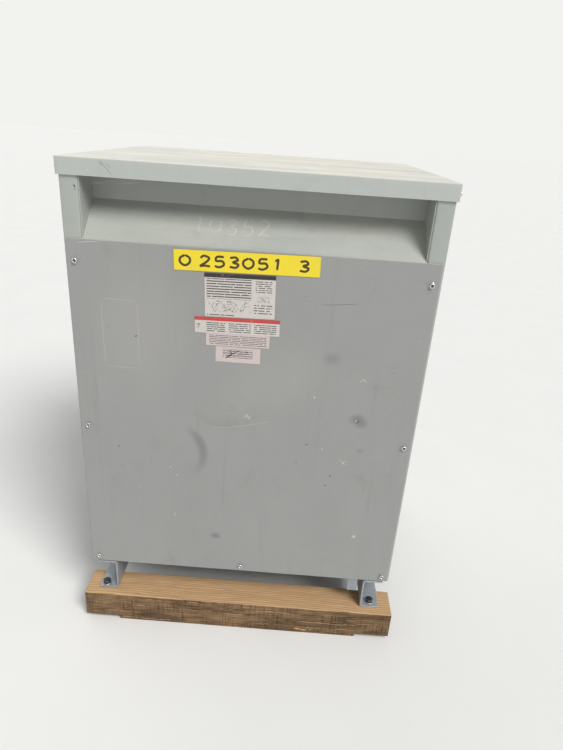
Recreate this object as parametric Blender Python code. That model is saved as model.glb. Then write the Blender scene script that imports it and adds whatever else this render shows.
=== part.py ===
"""Ventilated three-phase dry-type power transformer on two skid timbers.

Metres, +Z up, the front looks along -Y. The origin lies on the floor, under
the middle of the cabinet. A folded sheet cabinet stands on two base rails,
which are bolted to the timbers, and holds a three-legged core with its coils.
"""

import math

import bmesh
import bpy

# Fits
FIT = 0.0003

# Cabinet
BODY_WIDTH = 0.813
BODY_DEPTH = 0.690
SHEET = 0.002
BEND_RADIUS = 0.003
POST_WIDTH = 0.039
POST_LIP = 0.012
COVER_HEIGHT = 0.872
COVER_SHEET = 0.0025
COVER_SIDE_MARGIN = 0.0045
COVER_LIFT = 0.0027
VENT_HEIGHT = 0.127

# Lid
LID_FLANGE = 0.036
LID_SHEET = 0.002
LID_GAP = 0.0025
LID_EDGE_RADIUS = 0.003

# Deflectors under the vents: a slope, and a wall up to the gap under the lid
DEFLECTOR_RUN = 0.081
DEFLECTOR_RISE = 0.0745
DEFLECTOR_WALL = 0.050
DEFLECTOR_SEAT = 0.030
DEFLECTOR_LIP = 0.012

# Sills between the posts, behind the foot of each cover
SILL_HEIGHT = 0.038
SILL_SHELF = 0.045
SILL_SHEET = 0.0025

# Hanging tab by the right foot
TAB_WIDTH = 0.027
TAB_DROP = 0.048
TAB_SHEET = 0.003
TAB_SHELF = 0.018
TAB_OFFSET = 0.0265
TAB_SETBACK = 0.010

# Base rails, whose ends are the four feet
RAIL_HEIGHT = 0.094
RAIL_FLANGE = 0.053
RAIL_SHEET = 0.004
RAIL_INSET = 0.0685
RAIL_REACH = 0.0035
RAIL_BEND_RADIUS = 0.006

# Skid timbers
BEAM_OVERHANG = 0.0195
BEAM_HEIGHT = 0.089
BEAM_DEPTH = 0.089
BEAM_REACH = 0.0275
BEAM_EDGE = 0.002
NOTCH_LENGTH = 0.095
NOTCH_HEIGHT = 0.010

# Core
LEG_WIDTH = 0.110
CORE_STACK = 0.130
COIL_GAP = 0.015
COIL_END_GAP = 0.015

# Core clamps
CLAMP_HEIGHT = 0.075
CLAMP_FLANGE = 0.040
CLAMP_SHEET = 0.005
CLAMP_SETBACK = 0.0015
CLAMP_BEND_RADIUS = 0.006

# Rubber pads between the rails and the lower clamps
PAD_HEIGHT = 0.012
PAD_LENGTH = 0.036
PAD_EDGE = 0.004

# Coils
COIL_BUILD = 0.047
COIL_CLEARANCE = 0.003
COIL_HEIGHT = 0.400
COIL_OUTER_RADIUS = 0.045
COIL_INNER_RADIUS = 0.008
BLOCK_WIDTH = 0.050
BLOCK_MARGIN = 0.003

BEND_STEPS = 3
ROUND_STEPS = 6

# Levels that follow
RAIL_BOTTOM = BEAM_HEIGHT + FIT
RAIL_TOP = RAIL_BOTTOM + RAIL_HEIGHT
SILL_BOTTOM = RAIL_TOP + FIT
COVER_BOTTOM = RAIL_TOP + COVER_LIFT
COVER_TOP = COVER_BOTTOM + COVER_HEIGHT
LID_BOTTOM = COVER_TOP + VENT_HEIGHT
LID_TOP = LID_BOTTOM + LID_FLANGE
PANEL_TOP = LID_TOP - LID_SHEET - FIT
PANEL_HEIGHT = PANEL_TOP - COVER_BOTTOM
OPENING_HALF = BODY_WIDTH / 2 - POST_WIDTH
RAIL_PLACE = BODY_WIDTH / 2 - RAIL_INSET
BEAM_LENGTH = BODY_WIDTH + 2 * BEAM_OVERHANG

PAD_BOTTOM = RAIL_TOP + FIT
CLAMP_BOTTOM = PAD_BOTTOM + PAD_HEIGHT + FIT
YOKE_BOTTOM = CLAMP_BOTTOM + CLAMP_HEIGHT / 2 - LEG_WIDTH / 2
WINDOW_WIDTH = 2 * (COIL_CLEARANCE + COIL_BUILD) + COIL_GAP
WINDOW_HEIGHT = COIL_HEIGHT + 2 * COIL_END_GAP
CORE_HEIGHT = WINDOW_HEIGHT + 2 * LEG_WIDTH
CORE_WIDTH = 3 * LEG_WIDTH + 2 * WINDOW_WIDTH
LEG_PITCH = LEG_WIDTH + WINDOW_WIDTH
COIL_BOTTOM = YOKE_BOTTOM + LEG_WIDTH + COIL_END_GAP
CLAMP_LENGTH = 2 * (RAIL_PLACE + RAIL_FLANGE - CLAMP_SETBACK)


def clear_scene():
    """Remove every object of the open scene."""
    for obj in list(bpy.data.objects):
        bpy.data.objects.remove(obj, do_unlink=True)


def make_material(name, colour, roughness, metallic=0.0):
    """Principled material of one colour."""
    material = bpy.data.materials.new(name)
    material.use_nodes = True
    shader = material.node_tree.nodes["Principled BSDF"]
    shader.inputs["Base Color"].default_value = (*colour, 1.0)
    shader.inputs["Roughness"].default_value = roughness
    shader.inputs["Metallic"].default_value = metallic
    return material


def group(name, place=(0.0, 0.0, 0.0)):
    """Empty that holds the pieces of one assembly."""
    empty = bpy.data.objects.new(name, None)
    empty.location = place
    bpy.context.collection.objects.link(empty)
    return empty


def add(name, mesh, parent, place, turn=0.0):
    """Object for a mesh, placed under its assembly and turned about Z."""
    obj = bpy.data.objects.new(name, mesh)
    obj.parent = parent
    obj.location = place
    obj.rotation_euler = (0.0, 0.0, turn)
    bpy.context.collection.objects.link(obj)
    return obj


def mesh_from(name, points, faces, material):
    """Mesh with outward faces from points and faces."""
    shape = bmesh.new()
    verts = [shape.verts.new(point) for point in points]
    for face in faces:
        shape.faces.new([verts[i] for i in face])
    bmesh.ops.recalc_face_normals(shape, faces=shape.faces)
    mesh = bpy.data.meshes.new(name)
    shape.to_mesh(mesh)
    shape.free()
    mesh.materials.append(material)
    return mesh


def box_mesh(name, size, material):
    """Box that stands on its local floor, centred on its local Z axis."""
    width, depth, height = size
    outline = [(-width / 2, -depth / 2), (width / 2, -depth / 2),
               (width / 2, depth / 2), (-width / 2, depth / 2)]
    return prism_mesh(name, outline, lambda u, v, w: (u, v, w), 0.0, height, material)


def prism_mesh(name, outline, place, low, high, material):
    """Outline swept straight from low to high; place turns (u, v, w) into (x, y, z)."""
    count = len(outline)
    points = [place(u, v, low) for u, v in outline]
    points += [place(u, v, high) for u, v in outline]
    faces = [list(range(count)), list(range(count, 2 * count))]
    for i in range(count):
        j = (i + 1) % count
        faces.append([i, j, count + j, count + i])
    return mesh_from(name, points, faces, material)


def rounded_path(corners, radius):
    """Points and side directions along a polyline whose inner corners are arcs."""
    path = []
    for i, corner in enumerate(corners):
        if i == 0 or i == len(corners) - 1:
            a, b = (corners[0], corners[1]) if i == 0 else (corners[-2], corners[-1])
            run = math.hypot(b[0] - a[0], b[1] - a[1])
            side = (-(b[1] - a[1]) / run, (b[0] - a[0]) / run)
            path.append((corner, side))
            continue
        before, after = corners[i - 1], corners[i + 1]
        run_in = math.hypot(corner[0] - before[0], corner[1] - before[1])
        run_out = math.hypot(after[0] - corner[0], after[1] - corner[1])
        along_in = ((corner[0] - before[0]) / run_in, (corner[1] - before[1]) / run_in)
        along_out = ((after[0] - corner[0]) / run_out, (after[1] - corner[1]) / run_out)
        cross = along_in[0] * along_out[1] - along_in[1] * along_out[0]
        turn = math.atan2(cross, along_in[0] * along_out[0] + along_in[1] * along_out[1])
        hand = math.copysign(1.0, turn)
        setback = radius * math.tan(abs(turn) / 2)
        side = (-along_in[1], along_in[0])
        centre = (corner[0] - along_in[0] * setback + hand * radius * side[0],
                  corner[1] - along_in[1] * setback + hand * radius * side[1])
        for step in range(BEND_STEPS + 1):
            angle = turn * step / BEND_STEPS
            turned = (side[0] * math.cos(angle) - side[1] * math.sin(angle),
                      side[0] * math.sin(angle) + side[1] * math.cos(angle))
            point = (centre[0] - hand * radius * turned[0], centre[1] - hand * radius * turned[1])
            path.append((point, turned))
    return path


def sheet_mesh(name, corners, thickness, radius, place, span, material):
    """Bent sheet: the corners give its middle line, span(u, v) gives its two ends."""
    path = rounded_path(corners, radius)
    points = []
    for (u, v), (side_u, side_v) in path:
        low, high = span(u, v)
        for end in (low, high):
            for hand in (-0.5, 0.5):
                points.append(place(u + hand * thickness * side_u, v + hand * thickness * side_v, end))
    last = 4 * (len(path) - 1)
    faces = [[0, 1, 3, 2], [last, last + 2, last + 3, last + 1]]
    for start in range(0, last, 4):
        for a, b in ((0, 1), (1, 3), (3, 2), (2, 0)):
            faces.append([start + a, start + b, start + 4 + b, start + 4 + a])
    return mesh_from(name, points, faces, material)


def rounded_rectangle(width, depth, radius):
    """Outline of a rectangle with round corners."""
    outline = []
    for quarter, (side_x, side_y) in enumerate(((1, 1), (-1, 1), (-1, -1), (1, -1))):
        centre_x = side_x * (width / 2 - radius)
        centre_y = side_y * (depth / 2 - radius)
        for step in range(ROUND_STEPS + 1):
            angle = math.pi / 2 * (quarter + step / ROUND_STEPS)
            outline.append((centre_x + radius * math.cos(angle), centre_y + radius * math.sin(angle)))
    return outline


def ring_mesh(name, outer, inner, height, material):
    """Upright ring between two outlines with equally many points."""
    count = len(outer)
    points = []
    for outline, level in ((outer, 0.0), (outer, height), (inner, height), (inner, 0.0)):
        points += [(x, y, level) for x, y in outline]
    faces = []
    for band in range(4):
        start, end = band * count, (band + 1) % 4 * count
        for i in range(count):
            j = (i + 1) % count
            faces.append([start + i, start + j, end + j, end + i])
    return mesh_from(name, points, faces, material)


def round_above(mesh, radius):
    """Round all edges of a mesh but those on its local floor."""
    shape = bmesh.new()
    shape.from_mesh(mesh)
    edges = [edge for edge in shape.edges if max(vert.co.z for vert in edge.verts) > radius]
    bmesh.ops.bevel(shape, geom=edges, offset=radius, segments=BEND_STEPS, profile=0.5, affect="EDGES")
    shape.to_mesh(mesh)
    shape.free()


def bevel(obj, width):
    """Small round on the sharp edges."""
    modifier = obj.modifiers.new("edge", "BEVEL")
    modifier.width = width
    modifier.segments = 2
    modifier.limit_method = "ANGLE"
    modifier.angle_limit = math.radians(60)


def cut(obj, name, size, place):
    """Cut a box out of an object; the box is given in the object's assembly."""
    cutter = add(name, box_mesh(name, size, obj.data.materials[0]), obj.parent, place)
    cutter.hide_render = True
    cutter.display_type = "WIRE"
    modifier = obj.modifiers.new(name, "BOOLEAN")
    modifier.operation = "DIFFERENCE"
    modifier.solver = "EXACT"
    modifier.object = cutter


def along_x(u, v, w):
    """Profile in Y and Z, swept along X."""
    return (w, u, v)


def along_y(u, v, w):
    """Profile in X and Z, swept along Y."""
    return (u, w, v)


def along_z(u, v, w):
    """Profile in X and Y, swept along Z."""
    return (u, v, w)


def build_lid(cabinet, paint):
    """Shallow pan over the tops of the side panels."""
    width = BODY_WIDTH + 2 * (LID_GAP + LID_SHEET)
    depth = BODY_DEPTH + 2 * (LID_GAP + LID_SHEET)
    mesh = box_mesh("lid", (width, depth, LID_FLANGE), paint)
    round_above(mesh, LID_EDGE_RADIUS)
    lid = add("lid", mesh, cabinet, (0, 0, LID_BOTTOM))
    inside = (width - 2 * LID_SHEET, depth - 2 * LID_SHEET, 2 * (LID_FLANGE - LID_SHEET))
    cut(lid, "lid_hollow", inside, (0, 0, LID_BOTTOM - LID_FLANGE + LID_SHEET))


def build_side_panels(cabinet, paint):
    """Side walls, folded round to the corner posts at the front and the rear."""
    middle = SHEET / 2
    inner = -POST_WIDTH + middle
    front = -BODY_DEPTH / 2 + middle
    corners = [(inner, front + POST_LIP), (inner, front), (-middle, front),
               (-middle, -front), (inner, -front), (inner, -front - POST_LIP)]
    mesh = sheet_mesh("side_panel", corners, SHEET, BEND_RADIUS, along_z,
                      lambda u, v: (0.0, PANEL_HEIGHT), paint)
    place = (BODY_WIDTH / 2, 0, COVER_BOTTOM)
    add("side_panel_right", mesh, cabinet, place)
    add("side_panel_left", mesh, cabinet, (-place[0], 0, COVER_BOTTOM), math.pi)


def build_covers(cabinet, paint):
    """Flat front and rear covers over the posts and sills."""
    width = BODY_WIDTH - 2 * COVER_SIDE_MARGIN
    mesh = box_mesh("cover", (width, COVER_SHEET, COVER_HEIGHT), paint)
    reach = BODY_DEPTH / 2 + FIT + COVER_SHEET / 2
    add("front_cover", mesh, cabinet, (0, -reach, COVER_BOTTOM))
    add("rear_cover", mesh, cabinet, (0, reach, COVER_BOTTOM), math.pi)


def build_deflectors(cabinet, paint):
    """Sheets that slope inward from the top edge of each cover, then stand up behind the lid's edge."""
    middle = SHEET / 2
    crown = DEFLECTOR_RISE + DEFLECTOR_WALL
    corners = [(middle, -DEFLECTOR_SEAT), (middle, -middle), (DEFLECTOR_RUN, DEFLECTOR_RISE),
               (DEFLECTOR_RUN, crown), (DEFLECTOR_RUN + DEFLECTOR_LIP, crown)]
    half = OPENING_HALF - FIT
    mesh = sheet_mesh("deflector", corners, SHEET, BEND_RADIUS, along_x, lambda u, v: (-half, half), paint)
    add("front_deflector", mesh, cabinet, (0, -BODY_DEPTH / 2, COVER_TOP))
    add("rear_deflector", mesh, cabinet, (0, BODY_DEPTH / 2, COVER_TOP), math.pi)


def build_sills(cabinet, paint):
    """Angles between the feet of the posts; they lie on the base rails."""
    middle = SILL_SHEET / 2
    corners = [(middle, SILL_HEIGHT), (middle, middle), (SILL_SHELF, middle)]
    half = OPENING_HALF - FIT
    mesh = sheet_mesh("sill", corners, SILL_SHEET, BEND_RADIUS, along_x, lambda u, v: (-half, half), paint)
    add("front_sill", mesh, cabinet, (0, -BODY_DEPTH / 2, SILL_BOTTOM))
    add("rear_sill", mesh, cabinet, (0, BODY_DEPTH / 2, SILL_BOTTOM), math.pi)


def build_tab(cabinet, zinc):
    """Bent tab that hangs under the front sill, beside the right foot."""
    middle = TAB_SHEET / 2
    corners = [(0.0, -TAB_DROP), (0.0, -middle), (TAB_SHELF, -middle)]
    half = TAB_WIDTH / 2
    mesh = sheet_mesh("hanging_tab", corners, TAB_SHEET, BEND_RADIUS, along_x, lambda u, v: (-half, half), zinc)
    add("hanging_tab", mesh, cabinet, (RAIL_PLACE - TAB_OFFSET, -BODY_DEPTH / 2 + TAB_SETBACK, SILL_BOTTOM - FIT))


def build_rails(cabinet, steel):
    """Channels from front to rear, whose flanges turn outward."""
    middle = RAIL_SHEET / 2
    corners = [(RAIL_FLANGE, middle), (middle, middle), (middle, RAIL_HEIGHT - middle),
               (RAIL_FLANGE, RAIL_HEIGHT - middle)]
    half = BODY_DEPTH / 2 + RAIL_REACH
    mesh = sheet_mesh("base_rail", corners, RAIL_SHEET, RAIL_BEND_RADIUS, along_y, lambda u, v: (-half, half), steel)
    add("base_rail_right", mesh, cabinet, (RAIL_PLACE, 0, RAIL_BOTTOM))
    add("base_rail_left", mesh, cabinet, (-RAIL_PLACE, 0, RAIL_BOTTOM), math.pi)


def build_skid(skid, wood):
    """Square timbers under the ends of the rails, notched below at both ends."""
    half = BEAM_LENGTH / 2
    outline = [(-half, NOTCH_HEIGHT), (NOTCH_LENGTH - half, NOTCH_HEIGHT), (NOTCH_LENGTH - half, 0.0),
               (half - NOTCH_LENGTH, 0.0), (half - NOTCH_LENGTH, NOTCH_HEIGHT), (half, NOTCH_HEIGHT),
               (half, BEAM_HEIGHT), (-half, BEAM_HEIGHT)]
    mesh = prism_mesh("skid_beam", outline, along_y, -BEAM_DEPTH / 2, BEAM_DEPTH / 2, wood)
    middle = BODY_DEPTH / 2 + BEAM_REACH - BEAM_DEPTH / 2
    for name, side in (("skid_beam_front", -1), ("skid_beam_rear", 1)):
        beam = add(name, mesh, skid, (0, side * middle, 0))
        bevel(beam, BEAM_EDGE)


def build_core(inner, lamination):
    """Three-legged core with two windows."""
    core = add("core", box_mesh("core", (CORE_WIDTH, CORE_STACK, CORE_HEIGHT), lamination),
               inner, (0, 0, YOKE_BOTTOM))
    for name, side in (("window_left", -1), ("window_right", 1)):
        cut(core, name, (WINDOW_WIDTH, 2 * CORE_STACK, WINDOW_HEIGHT),
            (side * LEG_PITCH / 2, 0, YOKE_BOTTOM + LEG_WIDTH))


def build_clamps(inner, steel):
    """Channels along both yokes, with their flanges outward."""
    middle = CLAMP_SHEET / 2
    corners = [(CLAMP_FLANGE, middle), (middle, middle), (middle, CLAMP_HEIGHT - middle),
               (CLAMP_FLANGE, CLAMP_HEIGHT - middle)]
    mesh = sheet_mesh("clamp", corners, CLAMP_SHEET, CLAMP_BEND_RADIUS, along_x,
                      lambda u, v: (-CLAMP_LENGTH / 2, CLAMP_LENGTH / 2), steel)
    seat = CORE_STACK / 2 + FIT
    upper = CLAMP_BOTTOM + CORE_HEIGHT - LEG_WIDTH
    for name, level in (("lower_clamp", CLAMP_BOTTOM), ("upper_clamp", upper)):
        add(name + "_rear", mesh, inner, (0, seat, level))
        add(name + "_front", mesh, inner, (0, -seat, level), math.pi)


def build_pads(inner, rubber):
    """Rubber pads on the rails under the lower clamps."""
    width = RAIL_FLANGE - RAIL_BEND_RADIUS - 2 * PAD_EDGE
    mesh = box_mesh("pad", (width, PAD_LENGTH, PAD_HEIGHT), rubber)
    reach_x = RAIL_PLACE + RAIL_FLANGE - PAD_EDGE - width / 2
    reach_y = CORE_STACK / 2 + FIT + CLAMP_FLANGE / 2
    for depth_name, side_y in (("front", -1), ("rear", 1)):
        for width_name, side_x in (("left", -1), ("right", 1)):
            add("pad_" + depth_name + "_" + width_name, mesh, inner,
                (side_x * reach_x, side_y * reach_y, PAD_BOTTOM))


def build_coils(inner, varnish, board):
    """One winding round each leg, on blocks that stand on the lower clamps."""
    inner_width = LEG_WIDTH + 2 * COIL_CLEARANCE
    inner_depth = CORE_STACK + 2 * COIL_CLEARANCE
    outer_width = inner_width + 2 * COIL_BUILD
    outer_depth = inner_depth + 2 * COIL_BUILD
    coil = ring_mesh("coil", rounded_rectangle(outer_width, outer_depth, COIL_OUTER_RADIUS),
                     rounded_rectangle(inner_width, inner_depth, COIL_INNER_RADIUS), COIL_HEIGHT, varnish)
    clamp_top = CLAMP_BOTTOM + CLAMP_HEIGHT
    block_depth = CLAMP_FLANGE - 2 * BLOCK_MARGIN
    block = box_mesh("block", (BLOCK_WIDTH, block_depth, COIL_BOTTOM - clamp_top - 2 * FIT), board)
    block_reach = CORE_STACK / 2 + FIT + CLAMP_FLANGE / 2
    for name, step in (("left", -1), ("middle", 0), ("right", 1)):
        obj = add("coil_" + name, coil, inner, (step * LEG_PITCH, 0, COIL_BOTTOM))
        obj.data.shade_smooth()
        obj.data.set_sharp_from_angle(angle=math.radians(40))
        for depth_name, side in (("front", -1), ("rear", 1)):
            add("coil_block_" + name + "_" + depth_name, block, inner,
                (step * LEG_PITCH, side * block_reach, clamp_top + FIT))


def main():
    clear_scene()
    cabinet = group("cabinet")
    inner = group("core_and_coils")
    skid = group("skid")
    paint = make_material("grey_paint", (0.42, 0.43, 0.40), 0.45)
    cover_paint = make_material("cover_paint", (0.36, 0.36, 0.34), 0.42)
    zinc = make_material("zinc_plate", (0.38, 0.38, 0.40), 0.40, 0.8)
    lamination = make_material("core_steel", (0.10, 0.10, 0.11), 0.55, 0.6)
    clamp_paint = make_material("clamp_paint", (0.13, 0.13, 0.14), 0.55)
    varnish = make_material("coil_varnish", (0.16, 0.08, 0.04), 0.40)
    board = make_material("insulating_board", (0.35, 0.24, 0.13), 0.70)
    rubber = make_material("black_rubber", (0.02, 0.02, 0.02), 0.85)
    wood = make_material("rough_timber", (0.36, 0.22, 0.11), 0.80)
    build_skid(skid, wood)
    build_rails(cabinet, zinc)
    build_sills(cabinet, paint)
    build_tab(cabinet, zinc)
    build_side_panels(cabinet, paint)
    build_covers(cabinet, cover_paint)
    build_deflectors(cabinet, paint)
    build_lid(cabinet, paint)
    build_core(inner, lamination)
    build_clamps(inner, clamp_paint)
    build_pads(inner, rubber)
    build_coils(inner, varnish, board)


main()
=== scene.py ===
"""Looks of a ventilated dry-type power transformer on two skid timbers.

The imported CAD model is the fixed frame, in metres, +Z up, with the front along -Y.
Run as a script, this file dresses it with folded painted sheets, screws, lag bolts,
stickers, rough timbers, wound coils and procedural materials, and sets the stage.
"""
import math

import bmesh
import bpy
import numpy as np
from bpy.props import FloatProperty, FloatVectorProperty, IntProperty, PointerProperty
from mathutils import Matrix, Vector


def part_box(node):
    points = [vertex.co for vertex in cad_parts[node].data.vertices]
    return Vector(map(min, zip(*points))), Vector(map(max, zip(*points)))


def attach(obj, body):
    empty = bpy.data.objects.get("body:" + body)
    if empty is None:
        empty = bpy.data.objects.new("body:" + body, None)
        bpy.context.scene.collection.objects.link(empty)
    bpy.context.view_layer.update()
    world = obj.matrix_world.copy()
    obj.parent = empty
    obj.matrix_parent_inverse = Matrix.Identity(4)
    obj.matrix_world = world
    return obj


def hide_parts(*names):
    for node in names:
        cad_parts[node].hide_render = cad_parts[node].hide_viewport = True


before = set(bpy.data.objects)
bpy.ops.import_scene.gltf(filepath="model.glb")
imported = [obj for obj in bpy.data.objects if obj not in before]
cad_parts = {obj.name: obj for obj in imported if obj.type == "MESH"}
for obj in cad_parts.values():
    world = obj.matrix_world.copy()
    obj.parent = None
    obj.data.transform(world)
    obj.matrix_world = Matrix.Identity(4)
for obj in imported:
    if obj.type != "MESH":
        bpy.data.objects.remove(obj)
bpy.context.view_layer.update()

bl_info = {
    "name": "Dry-type transformer looks",
    "version": (1, 0, 0),
    "blender": (4, 5, 0),
    "location": "View3D > Sidebar > Transformer",
    "description": "Dresses the packed transformer: sheets, fasteners, stickers, timbers and stage",
    "category": "Add Mesh",
}

# Metres: points closer together than this become one, in a new mesh and in a CAD node
MERGE = 0.000001
NODE_MERGE = 0.00005

# Metres: thickness and bend of the sheets and of the rails, side of a timber, round on a cut edge,
# and how far a drawn mark stands off what it is drawn on
SHEET = 0.002
SHEET_BEND = 0.003
RAIL_SHEET = 0.004
RAIL_BEND = 0.006
TIMBER_SIZE = 0.089
CUT_EDGE = 0.0004
HAIR = 0.00003

# Steps in a bend, and between two points of a drawn path
ROUND_STEPS = 6
PATH_STEPS = 8

# Factors that leave a piece at the front or right, and that turn it round to the rear or left
NO_TURN = np.array([1.0, 1.0, 1.0])
HALF_TURN = np.array([-1.0, -1.0, 1.0])


def srgb(red, green, blue):
    """Linear colour of an 8-bit display colour."""
    share = np.array([red, green, blue]) / 255.0
    linear = np.where(share <= 0.04045, share / 12.92, ((share + 0.055) / 1.055) ** 2.4)
    return tuple(float(value) for value in linear)


def colour_property(name, description, default):
    """Colour that a user can change."""
    return FloatVectorProperty(name=name, description=description, subtype="COLOR", size=3,
                               min=0.0, max=1.0, default=default)


def length_property(name, description, default):
    """Length that a user can change, in metres."""
    return FloatProperty(name=name, description=description, default=default, min=0.0,
                         unit="LENGTH", subtype="DISTANCE", precision=4)


def strength_property(name, description, default):
    """Strength of a light that a user can change."""
    return FloatProperty(name=name, description=description, default=default, min=0.0)


# Sizes and colours


class SheetLooks(bpy.types.PropertyGroup):
    """Colours and small shapes of the cabinet's painted sheets."""

    lid_colour: colour_property("Lid", "Enamel of the lid", srgb(180, 184, 179))
    body_colour: colour_property("Body", "Enamel of the side walls and posts", srgb(166, 170, 164))
    cover_colour: colour_property("Covers", "Enamel of the front and rear covers", srgb(151, 151, 149))
    grime_colour: colour_property("Grime", "Hand marks, smears and runs", srgb(96, 92, 86))
    # Dust: pale enough that it also paints light on the upward faces
    dust_colour: colour_property("Dust", "Dust that settled on upward faces", srgb(248, 240, 222))
    # Worn edge: rubbed enamel, and also painted highlight along the bends
    bare_and_highlight_colour: colour_property("Worn edge", "Enamel rubbed thin along the bends", srgb(205, 206, 200))
    lid_sag: length_property("Lid sag", "How far the middle of the lid hangs", 0.0014)
    cover_bulge: length_property("Cover bulge", "How far a cover swells between its screws", 0.0009)
    wall_bulge: length_property("Wall bulge", "How far a side wall swells", 0.0013)
    flange_wave: length_property("Flange wave", "Waviness of the lid's lower edge", 0.0004)


class FastenerLooks(bpy.types.PropertyGroup):
    """Sizes and colours of the screws and lag bolts."""

    collar_width: length_property("Collar", "Width of a screw's washer collar", 0.0158)
    screw_flats: length_property("Screw flats", "Width of a screw head across its flats", 0.0104)
    screw_height: length_property("Screw height", "How far a screw head stands proud", 0.0056)
    recess_width: length_property("Recess", "Width of the dimple in a screw head", 0.0068)
    lag_flats: length_property("Lag flats", "Width of a lag bolt's head across its flats", 0.019)
    lag_height: length_property("Lag height", "Height of a lag bolt's head", 0.0085)
    washer_width: length_property("Washer", "Width of the flat washer under a lag bolt", 0.023)
    washer_height: length_property("Washer height", "Thickness of that washer", 0.0024)
    screw_colour: colour_property("Screws", "Bright zinc on the screws", srgb(222, 223, 223))
    lag_colour: colour_property("Lag bolts", "Darkened steel of the lag bolts", srgb(66, 66, 68))
    zinc_colour: colour_property("Rails", "Dull zinc of the base rails", srgb(160, 166, 170))


class TimberLooks(bpy.types.PropertyGroup):
    """Colours and roughness of the skid timbers."""

    light_colour: colour_property("Early wood", "Pale wood between the year rings", srgb(212, 176, 134))
    dark_colour: colour_property("Late wood", "Dark wood of the year rings", srgb(172, 128, 84))
    # Weathering: darkens the sides against the top, as weathering and as painted shade on the sides
    weathering_and_shade_colour: colour_property("Weathering", "Dirt and weathering on the sides", srgb(80, 61, 41))
    fibre_depth: length_property("Fibres", "Depth of the rough-sawn fibres", 0.0007)
    saw_depth: length_property("Saw marks", "Depth of the saw marks across the sides", 0.0003)
    crack_depth: length_property("Cracks", "Depth of the drying cracks", 0.0022)
    notch_length: length_property("Notch length", "Length of the notch under each end", 0.095)
    notch_height: length_property("Notch height", "Height of the notch under each end", 0.010)
    along_steps: IntProperty(name="Steps along", description="Grid steps along a timber",
                             default=220, min=40)
    face_steps: IntProperty(name="Steps across", description="Grid steps across each side",
                            default=72, min=12)


class StickerLooks(bpy.types.PropertyGroup):
    """Colours of the plain stickers on the front cover and of the chalk."""

    yellow_colour: colour_property("Yellow sticker", "Plain yellow sticker", srgb(238, 214, 44))
    paper_colour: colour_property("Paper", "White of the ruled stickers", srgb(204, 198, 192))
    band_colour: colour_property("Band", "Red band of the second sticker", srgb(196, 66, 62))
    ink_colour: colour_property("Ink", "Dark header and ruled rows", srgb(44, 40, 42))
    chalk_colour: colour_property("Chalk", "Chalk digits on the deflector", srgb(214, 210, 186))
    thickness: length_property("Thickness", "Thickness of a sticker", 0.00016)


class InnerLooks(bpy.types.PropertyGroup):
    """Colours and small shapes of the core and the coils."""

    steel_colour: colour_property("Laminations", "Varnished edges of the core sheets", srgb(92, 92, 96))
    clamp_colour: colour_property("Clamps", "Dark enamel of the core clamps", srgb(72, 74, 76))
    varnish_colour: colour_property("Varnish", "Baked varnish over the windings", srgb(112, 66, 36))
    board_colour: colour_property("Board", "Insulating board", srgb(166, 134, 94))
    turn_pitch: length_property("Turn pitch", "Height of one turn of the outer winding", 0.0072)
    turn_depth: length_property("Turn depth", "Depth of the groove between turns", 0.0009)


class StageLooks(bpy.types.PropertyGroup):
    """Camera, lights and floor."""

    lens: FloatProperty(name="Lens", description="Focal length in millimetres", default=27.0145,
                        min=10.0)
    camera_place: FloatVectorProperty(name="Camera place", description="Where the camera stands",
                                      subtype="TRANSLATION", unit="LENGTH", precision=4,
                                      default=(0.0891, -1.5399, 1.2997))
    camera_turn: FloatVectorProperty(name="Camera turn", description="Tilt, roll and turn of the camera",
                                     subtype="EULER", unit="ROTATION",
                                     default=tuple(math.radians(a) for a in (66.273, -3.624, 2.205)))
    floor_colour: colour_property("Floor", "Plain pale floor", srgb(238, 237, 234))
    sky_colour: colour_property("Backdrop", "Pale colour behind the floor", srgb(242, 242, 239))
    key_power: strength_property("Key light", "Strength of the wide soft sun", 2.55)
    fill_power: strength_property("Fill light", "Strength of the softer sun", 0.4)
    room_light: strength_property("Room light", "Strength of the even light", 0.36)


# Grids and meshes


def corners_of(node):
    """Lowest and highest corner of a CAD node, as arrays."""
    low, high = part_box(node)
    return np.array(low), np.array(high)


def ease(value, low, high):
    """0 below low, 1 above high and a smooth S between them."""
    share = np.clip((value - low) / (high - low), 0.0, 1.0)
    return share * share * (3.0 - 2.0 * share)


def soft_noise(u, v, seed):
    """Smooth noise from -1 to 1: random heights at whole numbers of u and v, eased between them."""
    heights = np.random.default_rng(seed).uniform(-1.0, 1.0, (64, 64))
    u, v = np.broadcast_arrays(u, v)
    column, row = np.floor(u).astype(int), np.floor(v).astype(int)
    a, b = ease(u - column, 0.0, 1.0), ease(v - row, 0.0, 1.0)
    left, right = column % 64, (column + 1) % 64
    below, above = row % 64, (row + 1) % 64
    lower = heights[left, below] * (1 - a) + heights[right, below] * a
    upper = heights[left, above] * (1 - a) + heights[right, above] * a
    return lower * (1 - b) + upper * b


def quad_rows(rows, columns, wrap):
    """Quads between neighbouring rows and columns of a grid; wrap joins the last column to the first."""
    last = columns if wrap else columns - 1
    row, column = np.meshgrid(np.arange(rows - 1), np.arange(last), indexing="ij")
    after = (column + 1) % columns
    here, above = row * columns, (row + 1) * columns
    return np.stack([here + column, here + after, above + after, above + column], -1).reshape(-1, 4)


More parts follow.
